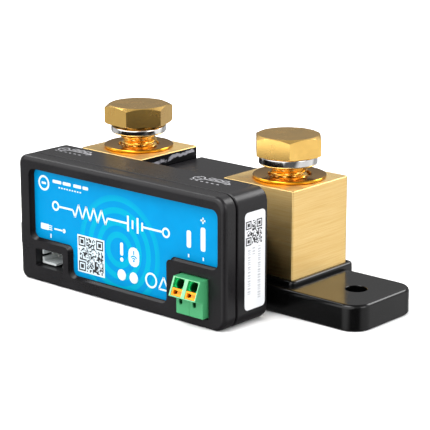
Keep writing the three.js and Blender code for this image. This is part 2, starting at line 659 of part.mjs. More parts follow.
function makePlug() {
  const profile = [
    [PLUG.back, PLUG.bottom], [PLUG.back, PLUG.top], [PLUG.brow, PLUG.top], [PLUG.noseY, PLUG.noseZ],
    [PLUG.lowerFace, PLUG.undercutZ], [PLUG.lowerFace, PLUG.bottom],
  ].reverse();
  let body = prismX(profile, [PLUG.left, PLUG.right]);
  for (let index = 0; index < PLUG.poles; index += 1) {
    const x = poleX(index);
    const leverHalf = POLE_WIDTH / 2 - PLUG.leverMargin;
    const slotHalf = leverHalf + PLUG.leverClearance;
    const leverSlot = prismX(leverOutline(PLUG.leverClearance), [x - slotHalf, x + slotHalf]);
    const entry = cylinderY(
      PLUG.entryRadius, [PLUG.noseY - 1, PLUG.brow + PLUG.entryDepth], x, PLUG.top - 2, SMALL_SEGMENTS,
    );
    const testHole = cylinderY(
      PLUG.testHoleRadius, [PLUG.noseY - 1, PLUG.lowerFace + 3],
      x + PLUG.testHoleOffset, PLUG.testHoleZ, 10,
    );
    const { halfWidth: clampHalf, bottom, top, wall, depth, room } = CLAMP;
    const roomHalf = clampHalf + room;
    const socket = box(
      [x - roomHalf, x + roomHalf], [PLUG.back - depth - 0.4, PLUG.back + 1],
      [bottom - room, top + room],
    );
    body = cut(body, leverSlot, entry, testHole, socket);
    addPart(
      `release_lever_${index + 1}`, prismX(leverOutline(0), [x - leverHalf, x + leverHalf]),
      MATERIALS.orangePlastic,
    );
    const boreHalf = clampHalf - wall;
    const clamp = cut(
      box([x - clampHalf, x + clampHalf], [PLUG.back - depth, PLUG.back - 0.4], [bottom, top]),
      box([x - boreHalf, x + boreHalf], [PLUG.back - depth - 1, PLUG.back + 1], [bottom + wall, top - wall]),
    );
    addPart(`contact_clamp_${index + 1}`, clamp, MATERIALS.tinned);
  }
  addPart('terminal_plug', body, MATERIALS.greenPlastic);
}

function makeHeader() {
  const boardSide = BOARD.front - FILM_GAP;
  const outerX = [PLUG.left - CLEARANCE - HEADER.wall, PLUG.right + CLEARANCE + HEADER.wall];
  const shellFront = COVER.front + COVER.frontWall + CLEARANCE;
  const outer = box(outerX, [shellFront, boardSide], [BOARD.bottom, HEADER.top]);
  const room = box(
    [PLUG.left - CLEARANCE, PLUG.right + CLEARANCE],
    [shellFront - 1, boardSide - HEADER.backWall], [0, HEADER.top + 1],
  );
  let header = cut(outer, room);
  for (let index = 0; index < PLUG.poles; index += 1) {
    const x = poleX(index);
    const half = HEADER.pinHalf;
    const holeHalf = half + 0.15;
    const hole = box(
      [x - holeHalf, x + holeHalf], [boardSide - 3, boardSide + 1],
      [HEADER.pinZ - holeHalf, HEADER.pinZ + holeHalf],
    );
    header = cut(header, hole);
    const pin = box(
      [x - half, x + half], [PLUG.back - HEADER.pinReach, boardSide],
      [HEADER.pinZ - half, HEADER.pinZ + half],
    );
    addPart(`header_pin_${index + 1}`, pin, MATERIALS.tinned);
  }
  addPart('terminal_header', header, MATERIALS.greenPlastic);
}

// ---- assembly ---------------------------------------------------------------------------------

makeBase();
makeBaseScrews();
SIDES.forEach(makeTerminalBlock);
makeResistorStrips();
SIDES.forEach(makeFlatWasher);
SIDES.forEach(makeSpringWasher);
SIDES.forEach(makeBolt);
makeMiddleCover();
makeRearHousing();
makeFrontCover();
makeLabels();
makeBoard();
makeBoardParts();
SIDES.forEach(makeSenseLinks);
makeDataPort();
makeHeader();
makePlug();

export default assembly;
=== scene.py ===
import json
import math
import random

import bmesh
import bpy
from mathutils import Matrix, Vector


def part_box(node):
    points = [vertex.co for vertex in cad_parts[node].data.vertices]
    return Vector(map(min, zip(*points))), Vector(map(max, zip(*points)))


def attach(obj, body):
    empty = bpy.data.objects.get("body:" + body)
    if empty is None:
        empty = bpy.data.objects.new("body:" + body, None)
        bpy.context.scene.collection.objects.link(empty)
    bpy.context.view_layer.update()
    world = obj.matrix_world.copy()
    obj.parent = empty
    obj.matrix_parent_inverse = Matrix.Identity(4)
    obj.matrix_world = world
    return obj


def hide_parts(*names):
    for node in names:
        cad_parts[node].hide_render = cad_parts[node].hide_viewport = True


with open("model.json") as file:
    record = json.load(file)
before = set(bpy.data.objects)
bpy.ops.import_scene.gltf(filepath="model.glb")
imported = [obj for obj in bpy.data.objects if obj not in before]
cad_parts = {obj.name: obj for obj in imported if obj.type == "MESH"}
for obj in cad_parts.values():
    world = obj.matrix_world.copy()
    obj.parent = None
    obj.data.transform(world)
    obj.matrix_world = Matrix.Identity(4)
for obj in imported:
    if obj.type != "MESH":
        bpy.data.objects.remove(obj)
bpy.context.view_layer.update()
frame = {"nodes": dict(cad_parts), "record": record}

# Shapes are drawn in millimetres and scaled to metres when they become pieces.
MM = 0.001
ROOT = "shunt_body"
QUARTER = math.pi / 2
scene = bpy.context.scene


# ---- places ----

def spans(node):
    """A CAD node's extent along X, Y and Z, as (low, high) pairs in millimetres."""
    low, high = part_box(node)
    return [(round(a / MM, 3), round(b / MM, 3)) for a, b in zip(low, high)]


def middle(pair):
    return round(sum(pair) / 2, 3)


def grown(pair, by):
    return (pair[0] - by, pair[1] + by)


def span(sign, low, high):
    """A span given for the battery side, mirrored in X for the load side."""
    return (low, high) if sign > 0 else (-high, -low)


SIDES = (("load", -1), ("battery", 1))
TRAY_X, TRAY_Y, TRAY_Z = spans("base_tray")
BLOCK_X, BLOCK_Y, BLOCK_Z = spans("battery_block")
ENCLOSURE_X, COVER_Y, COVER_Z = spans("front_cover")
MIDDLE_X, MIDDLE_Y, MIDDLE_Z = spans("middle_cover")
PLUG_X, PLUG_Y, PLUG_Z = spans("terminal_plug")
SOCKET_X, SOCKET_Y, SOCKET_Z = spans("data_socket")
LABEL_X, _, LABEL_Z = spans("front_label")
BOLT_X, BOLT_Y, _ = (middle(pair) for pair in spans("battery_flat_washer"))
POST_X, _, POST_Z = (middle(pair) for pair in spans("battery_sense_post"))
LENS_X = [middle(spans(f"light_pipe_{number}")[0]) for number in (1, 2)]
LENS_Z = middle(spans("light_pipe_1")[2])

# The pluggable terminal: its wire-entry slope rises from the nose back to the brow, as (y, z).
PLUG_MIDDLE = middle(PLUG_X)
BROW = (-35.0, PLUG_Z[1])
NOSE = (PLUG_Y[0], 7.8)
SLOPE_LENGTH = math.hypot(BROW[0] - NOSE[0], BROW[1] - NOSE[1])
UP_SLOPE = ((BROW[0] - NOSE[0]) / SLOPE_LENGTH, (BROW[1] - NOSE[1]) / SLOPE_LENGTH)
INTO_SLOPE = (UP_SLOPE[1], -UP_SLOPE[0])
POCKET_DEPTH = 0.8
POCKET_X = (24.25, 28.65)
POCKET_HALF = 1.65
POCKET_RISE = (0.3, 4.72)
TEST_HOLE_Z = (5.25, 7.4)
PLUG_FACE = -34.1


# ---- node recipes ----

class Nodes:
    """A node tree with short calls for the nodes that the recipes share."""

    def __init__(self, tree, place="Object"):
        self.tree = tree
        self.place = self.node("ShaderNodeTexCoord").outputs[place]

    def node(self, kind, inputs=(), **settings):
        made = self.tree.nodes.new(kind)
        for key, value in settings.items():
            setattr(made, key, value)
        for key, value in dict(inputs).items():
            if isinstance(value, bpy.types.NodeSocket):
                self.tree.links.new(value, made.inputs[key])
            else:
                made.inputs[key].default_value = value
        return made

    def scaled(self, factors, source=None):
        place = self.place if source is None else source
        node = self.node("ShaderNodeVectorMath", {0: place, 1: factors}, operation="MULTIPLY")
        return node.outputs["Vector"]

    def noise(self, scale, detail, source=None, rough=0.55):
        place = self.place if source is None else source
        inputs = {"Vector": place, "Scale": scale, "Detail": detail, "Roughness": rough}
        return self.node("ShaderNodeTexNoise", inputs).outputs["Fac"]

    def math(self, operation, a, b=0.0):
        return self.node("ShaderNodeMath", {0: a, 1: b}, operation=operation).outputs[0]

    def product(self, *factors):
        result = factors[0]
        for factor in factors[1:]:
            result = self.math("MULTIPLY", result, factor)
        return result

    def dot(self, a, b):
        node = self.node("ShaderNodeVectorMath", {0: a, 1: b}, operation="DOT_PRODUCT")
        return node.outputs["Value"]

    def blend(self, factor, a, b):
        return self.node("ShaderNodeMix", {0: factor, 2: a, 3: b}, data_type="FLOAT").outputs[0]

    def span(self, value, low, high, out_low=0.0, out_high=1.0):
        inputs = {"Value": value, "From Min": low, "From Max": high, "To Min": out_low, "To Max": out_high}
        return self.node("ShaderNodeMapRange", inputs).outputs["Result"]

    def mix(self, factor, a, b):
        node = self.node("ShaderNodeMix", data_type="RGBA")
        for index, value in ((0, factor), (6, a), (7, b)):
            if isinstance(value, bpy.types.NodeSocket):
                self.tree.links.new(value, node.inputs[index])
            elif index == 0:
                node.inputs[index].default_value = value
            else:
                node.inputs[index].default_value = (*value, 1)
        return node.outputs[2]

    def cloud(self, scale, detail, low=0.0, high=1.0):
        """Noise, stretched to fill the range from low to high."""
        return self.span(self.noise(scale, detail), 0.3, 0.7, low, high)

    def axes(self, source=None):
        place = self.place if source is None else source
        return self.node("ShaderNodeSeparateXYZ", {0: place}).outputs


class Recipe(Nodes):
    """A Principled material."""

    def __init__(self, name, color, roughness, metallic=0.0, **sockets):
        self.material = bpy.data.materials.new(name)
        self.material.use_nodes = True
        super().__init__(self.material.node_tree)
        self.shader = self.tree.nodes["Principled BSDF"]
        self.shader.inputs["Base Color"].default_value = (*color, 1)
        self.shader.inputs["Roughness"].default_value = roughness
        self.shader.inputs["Metallic"].default_value = metallic
        for socket, value in sockets.items():
            self.shader.inputs[socket.replace("_", " ")].default_value = value

    def colour(self, socket):
        self.tree.links.new(socket, self.shader.inputs["Base Color"])

    def roughness(self, socket):
        self.tree.links.new(socket, self.shader.inputs["Roughness"])

    def bump(self, height, strength, distance):
        inputs = {"Height": height, "Strength": strength, "Distance": distance}
        made = self.node("ShaderNodeBump", inputs)
        self.tree.links.new(made.outputs["Normal"], self.shader.inputs["Normal"])

    def grain(self, scale, low, high, strength, distance):
        """Fine noise that moves the roughness between low and high and lifts the surface."""
        fine = self.noise(scale, 2)
        self.roughness(self.span(fine, 0.3, 0.7, low, high))
        self.bump(fine, strength, distance)


def moulded(name, color, roughness, spread=0.12, grain=5200, bump=0.12, **sockets):
    """Moulded plastic: a fine spark-eroded texture, with slow drifts in colour and gloss."""
    recipe = Recipe(name, color, roughness, **sockets)
    drift = recipe.noise(70, 2)
    darker = [c * (1 - spread) for c in color]
    lighter = [c * (1 + spread) for c in color]
    recipe.colour(recipe.mix(recipe.span(drift, 0.3, 0.7), darker, lighter))
    fine = recipe.noise(grain, 2)
    gloss = recipe.math("ADD", recipe.span(drift, 0.3, 0.7, -0.04, 0.04), roughness)
    recipe.roughness(recipe.math("ADD", gloss, recipe.span(fine, 0.3, 0.7, -0.03, 0.03)))
    recipe.bump(fine, bump, 0.00004)
    return recipe.material


def printed(name, color, spread, roughness=0.5, bump=0.03):
    """Ink or paper: plain and matt, with a coarser grain than the mouldings."""
    return moulded(name, color, roughness, spread=spread, grain=2600, bump=bump)


# Brushing streaks: noise scales along and across them, how far they wander in metres, the scale
# of the broad bands, and how much smoother a top is than a side.
STREAK_ALONG = 90
STREAK_ACROSS = 5200
STREAK_WAVE = 0.00035
BAND_SCALE = (40, 40, 700)
TOP_POLISH = 0.14


def brushed(name, low, high, roughness):
    """Metal brushed along the horizontal on its sides and along X on its top."""
    recipe = Recipe(name, high, roughness, metallic=1.0)
    bend = recipe.span(recipe.noise(55, 3), 0, 1, -STREAK_WAVE, STREAK_WAVE)
    x, y, z = recipe.axes()
    side_parts = {0: x, 1: y, 2: recipe.math("ADD", z, bend)}
    top_parts = {0: x, 1: recipe.math("ADD", y, bend), 2: z}
    side_place = recipe.node("ShaderNodeCombineXYZ", side_parts).outputs[0]
    top_place = recipe.node("ShaderNodeCombineXYZ", top_parts).outputs[0]
    side_scale = (STREAK_ALONG, STREAK_ALONG, STREAK_ACROSS)
    top_scale = (STREAK_ALONG, STREAK_ACROSS, STREAK_ALONG)
    side = recipe.noise(1, 4, recipe.scaled(side_scale, side_place), 0.65)
    top = recipe.noise(1, 4, recipe.scaled(top_scale, top_place), 0.65)
    normal = recipe.node("ShaderNodeNewGeometry").outputs["Normal"]
    upward = recipe.math("ABSOLUTE", recipe.axes(normal)[2])
    facing = recipe.span(upward, 0.6, 0.8)
    streaks = recipe.blend(facing, side, top)
    wide = recipe.noise(1, 2, recipe.scaled(BAND_SCALE), 0.5)
    fine_tone = recipe.span(streaks, 0.3, 0.7, 0, 0.7)
    recipe.colour(recipe.mix(recipe.math("ADD", fine_tone, recipe.span(wide, 0.3, 0.7, 0, 0.3)), low, high))
    rough = recipe.span(streaks, 0.3, 0.7, roughness + 0.08, roughness - 0.06)
    recipe.roughness(recipe.math("SUBTRACT", rough, recipe.product(facing, TOP_POLISH)))
    recipe.bump(streaks, 0.7, 0.00006)
    tangent = recipe.node("ShaderNodeCombineXYZ", {0: facing, 2: recipe.math("SUBTRACT", 1.0, facing)})
    recipe.tree.links.new(tangent.outputs[0], recipe.shader.inputs["Tangent"])
    recipe.shader.inputs["Anisotropic"].default_value = 0.88
    return recipe


def turned(name, low, high, roughness):
    """Plated or turned metal: small cloudy changes of tone and gloss with fine handling marks."""
    recipe = Recipe(name, high, roughness, metallic=1.0)
    cloud = recipe.noise(240, 4)
    recipe.colour(recipe.mix(recipe.span(cloud, 0.32, 0.68), low, high))
    recipe.roughness(recipe.span(cloud, 0.3, 0.7, roughness * 1.15, roughness * 0.88))
    recipe.bump(recipe.noise(900, 3), 0.008, 0.00003)
    return recipe.material


# The lacquer on a block's inner face: how far it wraps outwards, how far below the top it stops,
# and a painted highlight, a ragged grey glint near its upper edge. The glint's slope is a rise in Z per unit
# of Y.
LACQUER_WRAP = 0.32
LACQUER_GAP = 0.2
LACQUER_BLACK = (0.003, 0.003, 0.004)
PAINTED_GLINT_GREY = (0.36, 0.36, 0.40)
GLINT_HEIGHT = 28.5
GLINT_SLOPE = 0.07
GLINT_HALF = (0.32, 0.55)
GLINT_RAGGED = 0.25
GLINT_WOBBLE = 0.3


def lacquered_brass(name):
    """Block brass whose inner face, towards the resistor strips, is sealed with black lacquer that carries a
    painted highlight.
    """
    recipe = brushed(name, (0.84, 0.55, 0.19), (1.0, 0.75, 0.34), 0.45)
    recipe.shader.inputs["Specular IOR Level"].default_value = 0.12
    brass = recipe.shader.inputs["Base Color"].links[0].from_socket
    rough = recipe.shader.inputs["Roughness"].links[0].from_socket
    x, y, z = recipe.axes()
    inner = recipe.math("LESS_THAN", recipe.math("ABSOLUTE", x), (BLOCK_X[0] + LACQUER_WRAP) * MM)
    mask = recipe.product(inner, recipe.math("LESS_THAN", z, (BLOCK_Z[1] - LACQUER_GAP) * MM))
    # The ragged grey streak along the lacquer's upper edge is a painted highlight, not a mark on the lacquer.
    ragged = recipe.cloud(900, 4, -GLINT_RAGGED * MM, GLINT_RAGGED * MM)
    wobble = recipe.cloud(260, 3, -GLINT_WOBBLE * MM, GLINT_WOBBLE * MM)
    height = recipe.math("ADD", recipe.math("ADD", z, ragged), wobble)
    line = recipe.math("ADD", recipe.product(y, GLINT_SLOPE), GLINT_HEIGHT * MM)
    offset = recipe.math("ABSOLUTE", recipe.math("SUBTRACT", height, line))
    patches = recipe.span(recipe.noise(330, 2), 0.42, 0.5)
    painted_glint = recipe.product(recipe.span(offset, GLINT_HALF[0] * MM, GLINT_HALF[1] * MM, 1, 0), patches)
    recipe.colour(recipe.mix(mask, brass, recipe.mix(painted_glint, LACQUER_BLACK, PAINTED_GLINT_GREY)))
    recipe.tree.links.new(recipe.math("SUBTRACT", 1.0, mask), recipe.shader.inputs["Metallic"])
    recipe.roughness(recipe.blend(mask, rough, 0.16))
    return recipe.material


# Rings in the label's ink: their centre (x, z), pitch, where they fade in and out, and strength.
RING_CENTRE = (-0.3, 13.5)
RING_PITCH = 3.1
RING_START = (1.5, 3.0)
RING_END = (12.5, 15.0)
RING_STRENGTH = 0.42


def label_film():
    """Blue printed film, with broad faint rings of lighter ink spreading from the indicators."""
    recipe = Recipe("label_blue", (0.0, 0.27, 0.59), 0.38, Specular_IOR_Level=0.03)
    x, y, z = recipe.axes()
    across = recipe.math("SUBTRACT", x, RING_CENTRE[0] * MM)
    up = recipe.math("SUBTRACT", z, RING_CENTRE[1] * MM)
    square = recipe.math("ADD", recipe.product(across, across), recipe.product(up, up))
    distance = recipe.math("SQRT", square)
    ripple = recipe.math("SINE", recipe.product(distance, 2 * math.pi / (RING_PITCH * MM)))
    started = recipe.span(distance, RING_START[0] * MM, RING_START[1] * MM)
    fading = recipe.span(distance, RING_END[0] * MM, RING_END[1] * MM, 1, 0)
    faint = recipe.product(recipe.span(ripple, -0.1, 0.15), fading, started, RING_STRENGTH)
    drift = recipe.cloud(160, 2)
    ink = recipe.mix(drift, (0.0, 0.192, 0.420), (0.0, 0.208, 0.446))
    recipe.colour(recipe.mix(faint, ink, (0.0, 0.38, 0.39)))
    recipe.grain(3000, 0.34, 0.42, 0.04, 0.00002)
    return recipe.material


def slope_axes(recipe):
    """How far a point lies up the plug's wire-entry slope and how far behind it, in metres."""
    nose = (0, NOSE[0] * MM, NOSE[1] * MM)
    node = recipe.node("ShaderNodeVectorMath", {0: recipe.place, 1: nose}, operation="SUBTRACT")
    start = node.outputs["Vector"]
    return [recipe.dot(start, (0, *direction)) for direction in (UP_SLOPE, INTO_SLOPE)]


def plug_plastic():
    """Green plastic, lighter on the faces along the wire-entry slope as painted light from above, with
    painted saturated bounce light on its pocket walls and painted shade deep in the pockets and test holes.
    """
    recipe = Recipe("plug_green", (0.05, 0.30, 0.125), 0.42, Specular_IOR_Level=0.35)
    drift = recipe.cloud(90, 2)
    plain = recipe.mix(drift, (0.044, 0.268, 0.108), (0.052, 0.298, 0.122))
    # Faces that look out along the wire-entry slope are mixed towards a lighter mint: painted light from
    # above.
    normal = recipe.node("ShaderNodeNewGeometry").outputs["Normal"]
    facing = recipe.dot(normal, (0, -INTO_SLOPE[0], -INTO_SLOPE[1]))
    slope_painted_light = recipe.mix(recipe.span(facing, 0.93, 0.985), plain, (0.190, 0.500, 0.255))
    rise, depth = slope_axes(recipe)
    x, y, z = recipe.axes()
    reach = (POCKET_X[1] + POCKET_HALF + 0.05 - PLUG_MIDDLE) * MM
    aside = recipe.math("ABSOLUTE", recipe.math("SUBTRACT", x, PLUG_MIDDLE * MM))
    between = recipe.math("LESS_THAN", aside, reach)
    above = recipe.math("GREATER_THAN", rise, (POCKET_RISE[0] - 0.1) * MM)
    below = recipe.math("LESS_THAN", rise, (POCKET_RISE[1] + 0.08) * MM)
    inside = recipe.product(between, below, above)
    # Pocket walls are mixed to a saturated green: painted bounce light.
    pocket_painted_bounce = recipe.product(inside, recipe.span(depth, 0.1 * MM, 0.5 * MM))
    deep_painted_shade = recipe.span(depth, (POCKET_DEPTH + 0.02) * MM, (POCKET_DEPTH + 0.7) * MM)
    behind_face = recipe.span(y, (PLUG_FACE + 0.1) * MM, (PLUG_FACE + 0.5) * MM)
    low_down = recipe.math("LESS_THAN", z, (TEST_HOLE_Z[1] + 0.2) * MM)
    test_hole = recipe.product(behind_face, low_down, between)
    # Deep in the pockets and in the test holes the green is mixed to near black: painted shade.
    hole = recipe.math("MAXIMUM", recipe.product(inside, deep_painted_shade), test_hole)
    green = recipe.mix(pocket_painted_bounce, slope_painted_light, (0.004, 0.46, 0.11))
    recipe.colour(recipe.mix(hole, green, (0.0, 0.06, 0.012)))
    recipe.grain(3600, 0.39, 0.45, 0.1, 0.00004)
    return recipe.material


def lever_plastic():
    """Orange plastic, with painted shade that darkens it down in the screwdriver notch."""
    recipe = Recipe("lever_orange", (0.86, 0.24, 0.003), 0.36, Specular_IOR_Level=0.3)
    depth = slope_axes(recipe)[1]
    drift = recipe.cloud(90, 2)
    plain = recipe.mix(drift, (0.84, 0.27, 0.003), (0.92, 0.32, 0.005))
    # Down in the notch the orange is mixed to dark brown: painted shade.
    recipe.colour(recipe.mix(recipe.span(depth, 0.5 * MM, 1.3 * MM), plain, (0.09, 0.014, 0.001)))
    recipe.grain(3600, 0.33, 0.39, 0.08, 0.00004)
    return recipe.material


SATIN_BLACK = moulded("satin_black", (0.0074, 0.0068, 0.0078), 0.30, bump=0.08, Specular_IOR_Level=0.28)
GLOSS_BLACK = moulded("gloss_black", (0.0010, 0.0010, 0.0011), 0.17, bump=0.02, Specular_IOR_Level=0.30)
BLOCK_BRASS = lacquered_brass("block_brass")
BOLT_BRASS = turned("bolt_brass", (0.86, 0.53, 0.145), (0.94, 0.60, 0.17), 0.25)
WASHER_GOLD = turned("washer_gold", (0.58, 0.28, 0.02), (0.74, 0.38, 0.035), 0.12)
BRIGHT_STEEL = turned("bright_steel", (0.62, 0.61, 0.60), (0.80, 0.79, 0.78), 0.10)
SCREW_STEEL = turned("screw_steel", (0.50, 0.50, 0.50), (0.68, 0.68, 0.67), 0.30)
TINNED = turned("tinned", (0.55, 0.55, 0.53), (0.72, 0.72, 0.69), 0.32)
STRIP_ALLOY = brushed("strip_alloy", (0.40, 0.28, 0.22), (0.62, 0.46, 0.38), 0.36).material
LABEL_BLUE = label_film()
PRINT_WHITE = printed("print_white", (0.54, 0.64, 0.68), 0.03, 0.45)
PRINT_BLACK = printed("print_black", (0.012, 0.012, 0.014), 0.1)
PRINT_GREY = printed("print_grey", (0.40, 0.41, 0.43), 0.2)
PAPER_WHITE = printed("paper_white", (0.68, 0.69, 0.71), 0.02, bump=0.05)
TOP_PRINT = printed("top_print", (0.40, 0.40, 0.42), 0.1)
PLUG_GREEN = plug_plastic()
LEVER_ORANGE = lever_plastic()
SOCKET_WHITE = moulded("socket_white", (0.50, 0.53, 0.53), 0.45, grain=3600, bump=0.08)
LENS_WHITE = moulded("lens_white", (0.60, 0.69, 0.75), 0.25, spread=0.03, grain=2600, bump=0.02)
BOARD_GREEN = moulded("board_green", (0.012, 0.14, 0.05), 0.35, spread=0.3, grain=1500, bump=0.1)
CHIP_BLACK = moulded("chip_black", (0.018, 0.018, 0.02), 0.5)
FERRITE = moulded("ferrite", (0.08, 0.075, 0.07), 0.6, spread=0.3, grain=1800, bump=0.3)
FUSE_CERAMIC = moulded("fuse_ceramic", (0.50, 0.40, 0.28), 0.45)

NODE_MATERIALS = {
    "base": GLOSS_BLACK, "screw_steel": SCREW_STEEL, "brass": BOLT_BRASS, "manganin": STRIP_ALLOY,
    "gold_washer": WASHER_GOLD, "spring_steel": BRIGHT_STEEL, "enclosure": SATIN_BLACK,
    "label": LABEL_BLUE, "side_label": PAPER_WHITE, "board": BOARD_GREEN, "chip": CHIP_BLACK,
    "tinned": TINNED, "ferrite": FERRITE, "fuse_ceramic": FUSE_CERAMIC, "light_guide": LENS_WHITE,
    "socket_white": SOCKET_WHITE, "plug_green": PLUG_GREEN, "lever_orange": LEVER_ORANGE,
}
for entry in frame["record"]["subparts"]:
    mesh = frame["nodes"][entry["node"]].data
    mesh.materials.clear()
    mesh.materials.append(NODE_MATERIALS[entry["material_slot"]])


# ---- shape helpers ----

def shape(vertices, faces):
    """A loose object from millimetre points, with its faces turned outwards."""
    mesh = bpy.data.meshes.new("shape")
    mesh.from_pydata(vertices, [], faces)
    editor = bmesh.new()
    editor.from_mesh(mesh)
    bmesh.ops.remove_doubles(editor, verts=editor.verts, dist=1e-5)
    bmesh.ops.recalc_face_normals(editor, faces=editor.faces)
    editor.to_mesh(mesh)
    editor.free()
    made = bpy.data.objects.new("shape", mesh)
    scene.collection.objects.link(made)
    return made


def bake(made):
    graph = bpy.context.evaluated_depsgraph_get()
    mesh = bpy.data.meshes.new_from_object(made.evaluated_get(graph))
    made.modifiers.clear()
    made.data = mesh
    return made


def combine(made, others, operation="DIFFERENCE"):
    for other in others:
        step = made.modifiers.new("combine", "BOOLEAN")
        step.operation = operation
        step.solver = "EXACT"
        step.object = other
        bake(made)
        bpy.data.objects.remove(other)
    return made


def soften(made, width, segments=2, angle=35):
    step = made.modifiers.new("soften", "BEVEL")
    step.width = width
    step.segments = segments
    step.limit_method = "ANGLE"
    step.angle_limit = math.radians(angle)
    step.use_clamp_overlap = True
    return bake(made)


def piece(made, name, material, body=ROOT, replaces=(), angle=32):
    """Scales a finished shape to metres and makes it a piece of the object."""
    made.name = name
    made.data.name = name
    made.data.transform(Matrix.Scale(MM, 4))
    made.data.shade_smooth()
    made.data.set_sharp_from_angle(angle=math.radians(angle))
    made.modifiers.new("normals", "WEIGHTED_NORMAL").keep_sharp = True
    made.data.materials.clear()
    made.data.materials.append(material)
    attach(made, body)
    if replaces:
        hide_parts(*replaces)
    return made


def loft(rings, closed=False):
    """Skins equal rings of points; the ends are capped unless the last ring meets the first."""
    count = len(rings[0])
    vertices = [point for ring in rings for point in ring]
    faces = []
    for level in range(len(rings) - (0 if closed else 1)):
        a = level * count
        b = (level + 1) % len(rings) * count
        for i in range(count):
            j = (i + 1) % count
            faces.append((a + i, a + j, b + j, b + i))
    if not closed:
        faces.append(tuple(range(count)))
        faces.append(tuple(range(len(vertices) - count, len(vertices))))
    return shape(vertices, faces)


def along_y(outline, y):
    return [(u, y, v) for u, v in outline]


def along_z(outline, z):
    return [(u, v, z) for u, v in outline]


def rectangle(u, v):
    return [(u[0], v[0]), (u[1], v[0]), (u[1], v[1]), (u[0], v[1])]


def block(x, y, z):
    outline = rectangle(x, y)
    return loft([along_z(outline, level) for level in z])


def circle(radius, count, start=0.0):
    turns = [start + 2 * math.pi * i / count for i in range(count)]
    return [(radius * math.cos(t), radius * math.sin(t)) for t in turns]


def lathe(profile, x, y, count, closed=False):
    """Turns (radius, z) points about a vertical axis; a closed profile makes a ring."""
    steps = circle(1, count)
    if closed:
        return loft([[(x + r * c, y + r * s, z) for r, z in profile] for c, s in steps], closed=True)
    return loft([[(x + r * c, y + r * s, z) for c, s in steps] for r, z in profile])


def corner(u, v, radius, start, sweep, steps):
    angles = [start + sweep * i / steps for i in range(steps + 1)]
    return [(u + radius * math.cos(a), v + radius * math.sin(a)) for a in angles]


def rounded(u, v, radii, steps=8):
    """A rectangle with rounded corners, in the order low-left, low-right, high-right, high-left."""
    a, b, c, d = radii if hasattr(radii, "__len__") else (radii,) * 4
    return (
        corner(u[0] + a, v[0] + a, a, -2 * QUARTER, QUARTER, steps)
        + corner(u[1] - b, v[0] + b, b, -QUARTER, QUARTER, steps)
        + corner(u[1] - c, v[1] - c, c, 0, QUARTER, steps)
        + corner(u[0] + d, v[1] - d, d, QUARTER, QUARTER, steps)
    )


def fillet_steps(radius, steps=6):
    """(inset, rise) pairs round a quarter circle, from the flat face out to the full outline."""
    turns = [QUARTER * i / steps for i in range(steps + 1)]
    return [(radius * (1 - math.sin(t)), radius * (1 - math.cos(t))) for t in turns]


def tilt(made, axis, degrees, about):
    turn = Matrix.Rotation(math.radians(degrees), 4, Vector(axis).normalized())
    made.data.transform(Matrix.Translation(about) @ turn @ Matrix.Translation(-Vector(about)))
    return made


# ---- base ----

BASE_HALF = (TRAY_X[1], 12.1)
BASE_TOP = 6.7
BASE_CORNER = 5
BASE_FILLET = 1.0
COLLAR_WALL = 1.3
COLLAR_BACK = TRAY_Y[1]
COLLAR_CORNER = 1.7
COLLAR_FILLET = 0.75
FOOT_HALF = BLOCK_X[1] + COLLAR_WALL
FOOT_SLOPE = 0.5
EAR_HOLE_X = 50.4
EAR_HOLE_RADIUS = 2.7
BLOCK_ROOM = 0.2
BASE_SCREWS = [tuple(middle(pair) for pair in spans(f"base_screw_{number}")[:2]) for number in (3, 4)]
SCREW_HEAD_ROOM = 3.9
SCREW_SHANK_ROOM = 2.2


def make_base():
    fillet = reversed(fillet_steps(BASE_FILLET))
    rings = []
    for inset, z in [(0.5, 0), (0, 0.5)] + [(inset, BASE_TOP - rise) for inset, rise in fillet]:
        half_x, half_y = BASE_HALF[0] - inset, BASE_HALF[1] - inset
        rings.append(along_z(rounded((-half_x, half_x), (-half_y, half_y), BASE_CORNER - inset), z))
    body = loft(rings)
    foot_low, foot_high = FOOT_HALF, FOOT_HALF - FOOT_SLOPE
    foot = rounded((-foot_low, foot_low), (0, COLLAR_BACK), (0.2, 0.2, 1.6, 1.6), 4)
    foot_top = rounded((-foot_high, foot_high), (0, COLLAR_BACK - FOOT_SLOPE), (0.2, 0.2, 1.2, 1.2), 4)
    parts = [
        loft([along_z(foot, 0), along_z(foot, BASE_TOP - 0.4), along_z(foot_top, BASE_TOP)]),
        block((-12, 12), (TRAY_Y[0], 0), (0, 5)),
    ]
    for _, sign in SIDES:
        x = span(sign, *grown(BLOCK_X, COLLAR_WALL))
        y = (BLOCK_Y[0] - COLLAR_WALL, COLLAR_BACK)
        collar = []
        fillet = reversed(fillet_steps(COLLAR_FILLET, 5))
        for inset, z in [(0, 4)] + [(i, TRAY_Z[1] - rise) for i, rise in fillet]:
            collar.append(along_z(rounded(grown(x, -inset), grown(y, -inset), COLLAR_CORNER - inset, 6), z))
        parts.append(loft(collar))
    combine(body, parts, "UNION")
    cuts = []
    for _, sign in SIDES:
        x = span(sign, *grown(BLOCK_X, BLOCK_ROOM))
        cuts.append(block(x, grown(BLOCK_Y, BLOCK_ROOM), (BLOCK_Z[0] - 0.3, 12)))
        rim = EAR_HOLE_RADIUS + 0.1
        hole = [(EAR_HOLE_RADIUS, -1), (EAR_HOLE_RADIUS, BASE_TOP - 0.1), (rim, BASE_TOP), (rim, 9)]
        cuts.append(lathe(hole, sign * EAR_HOLE_X, 0, 48))
        sunk = [(SCREW_HEAD_ROOM, -1), (SCREW_HEAD_ROOM, 1.9), (SCREW_SHANK_ROOM, 1.9), (SCREW_SHANK_ROOM, 5)]
        cuts += [lathe(sunk, sign * screw_x, screw_y, 32) for screw_x, screw_y in BASE_SCREWS]
    combine(body, cuts)
    piece(body, "base_moulding", GLOSS_BLACK, replaces=["base_tray"])


# ---- terminal blocks ----

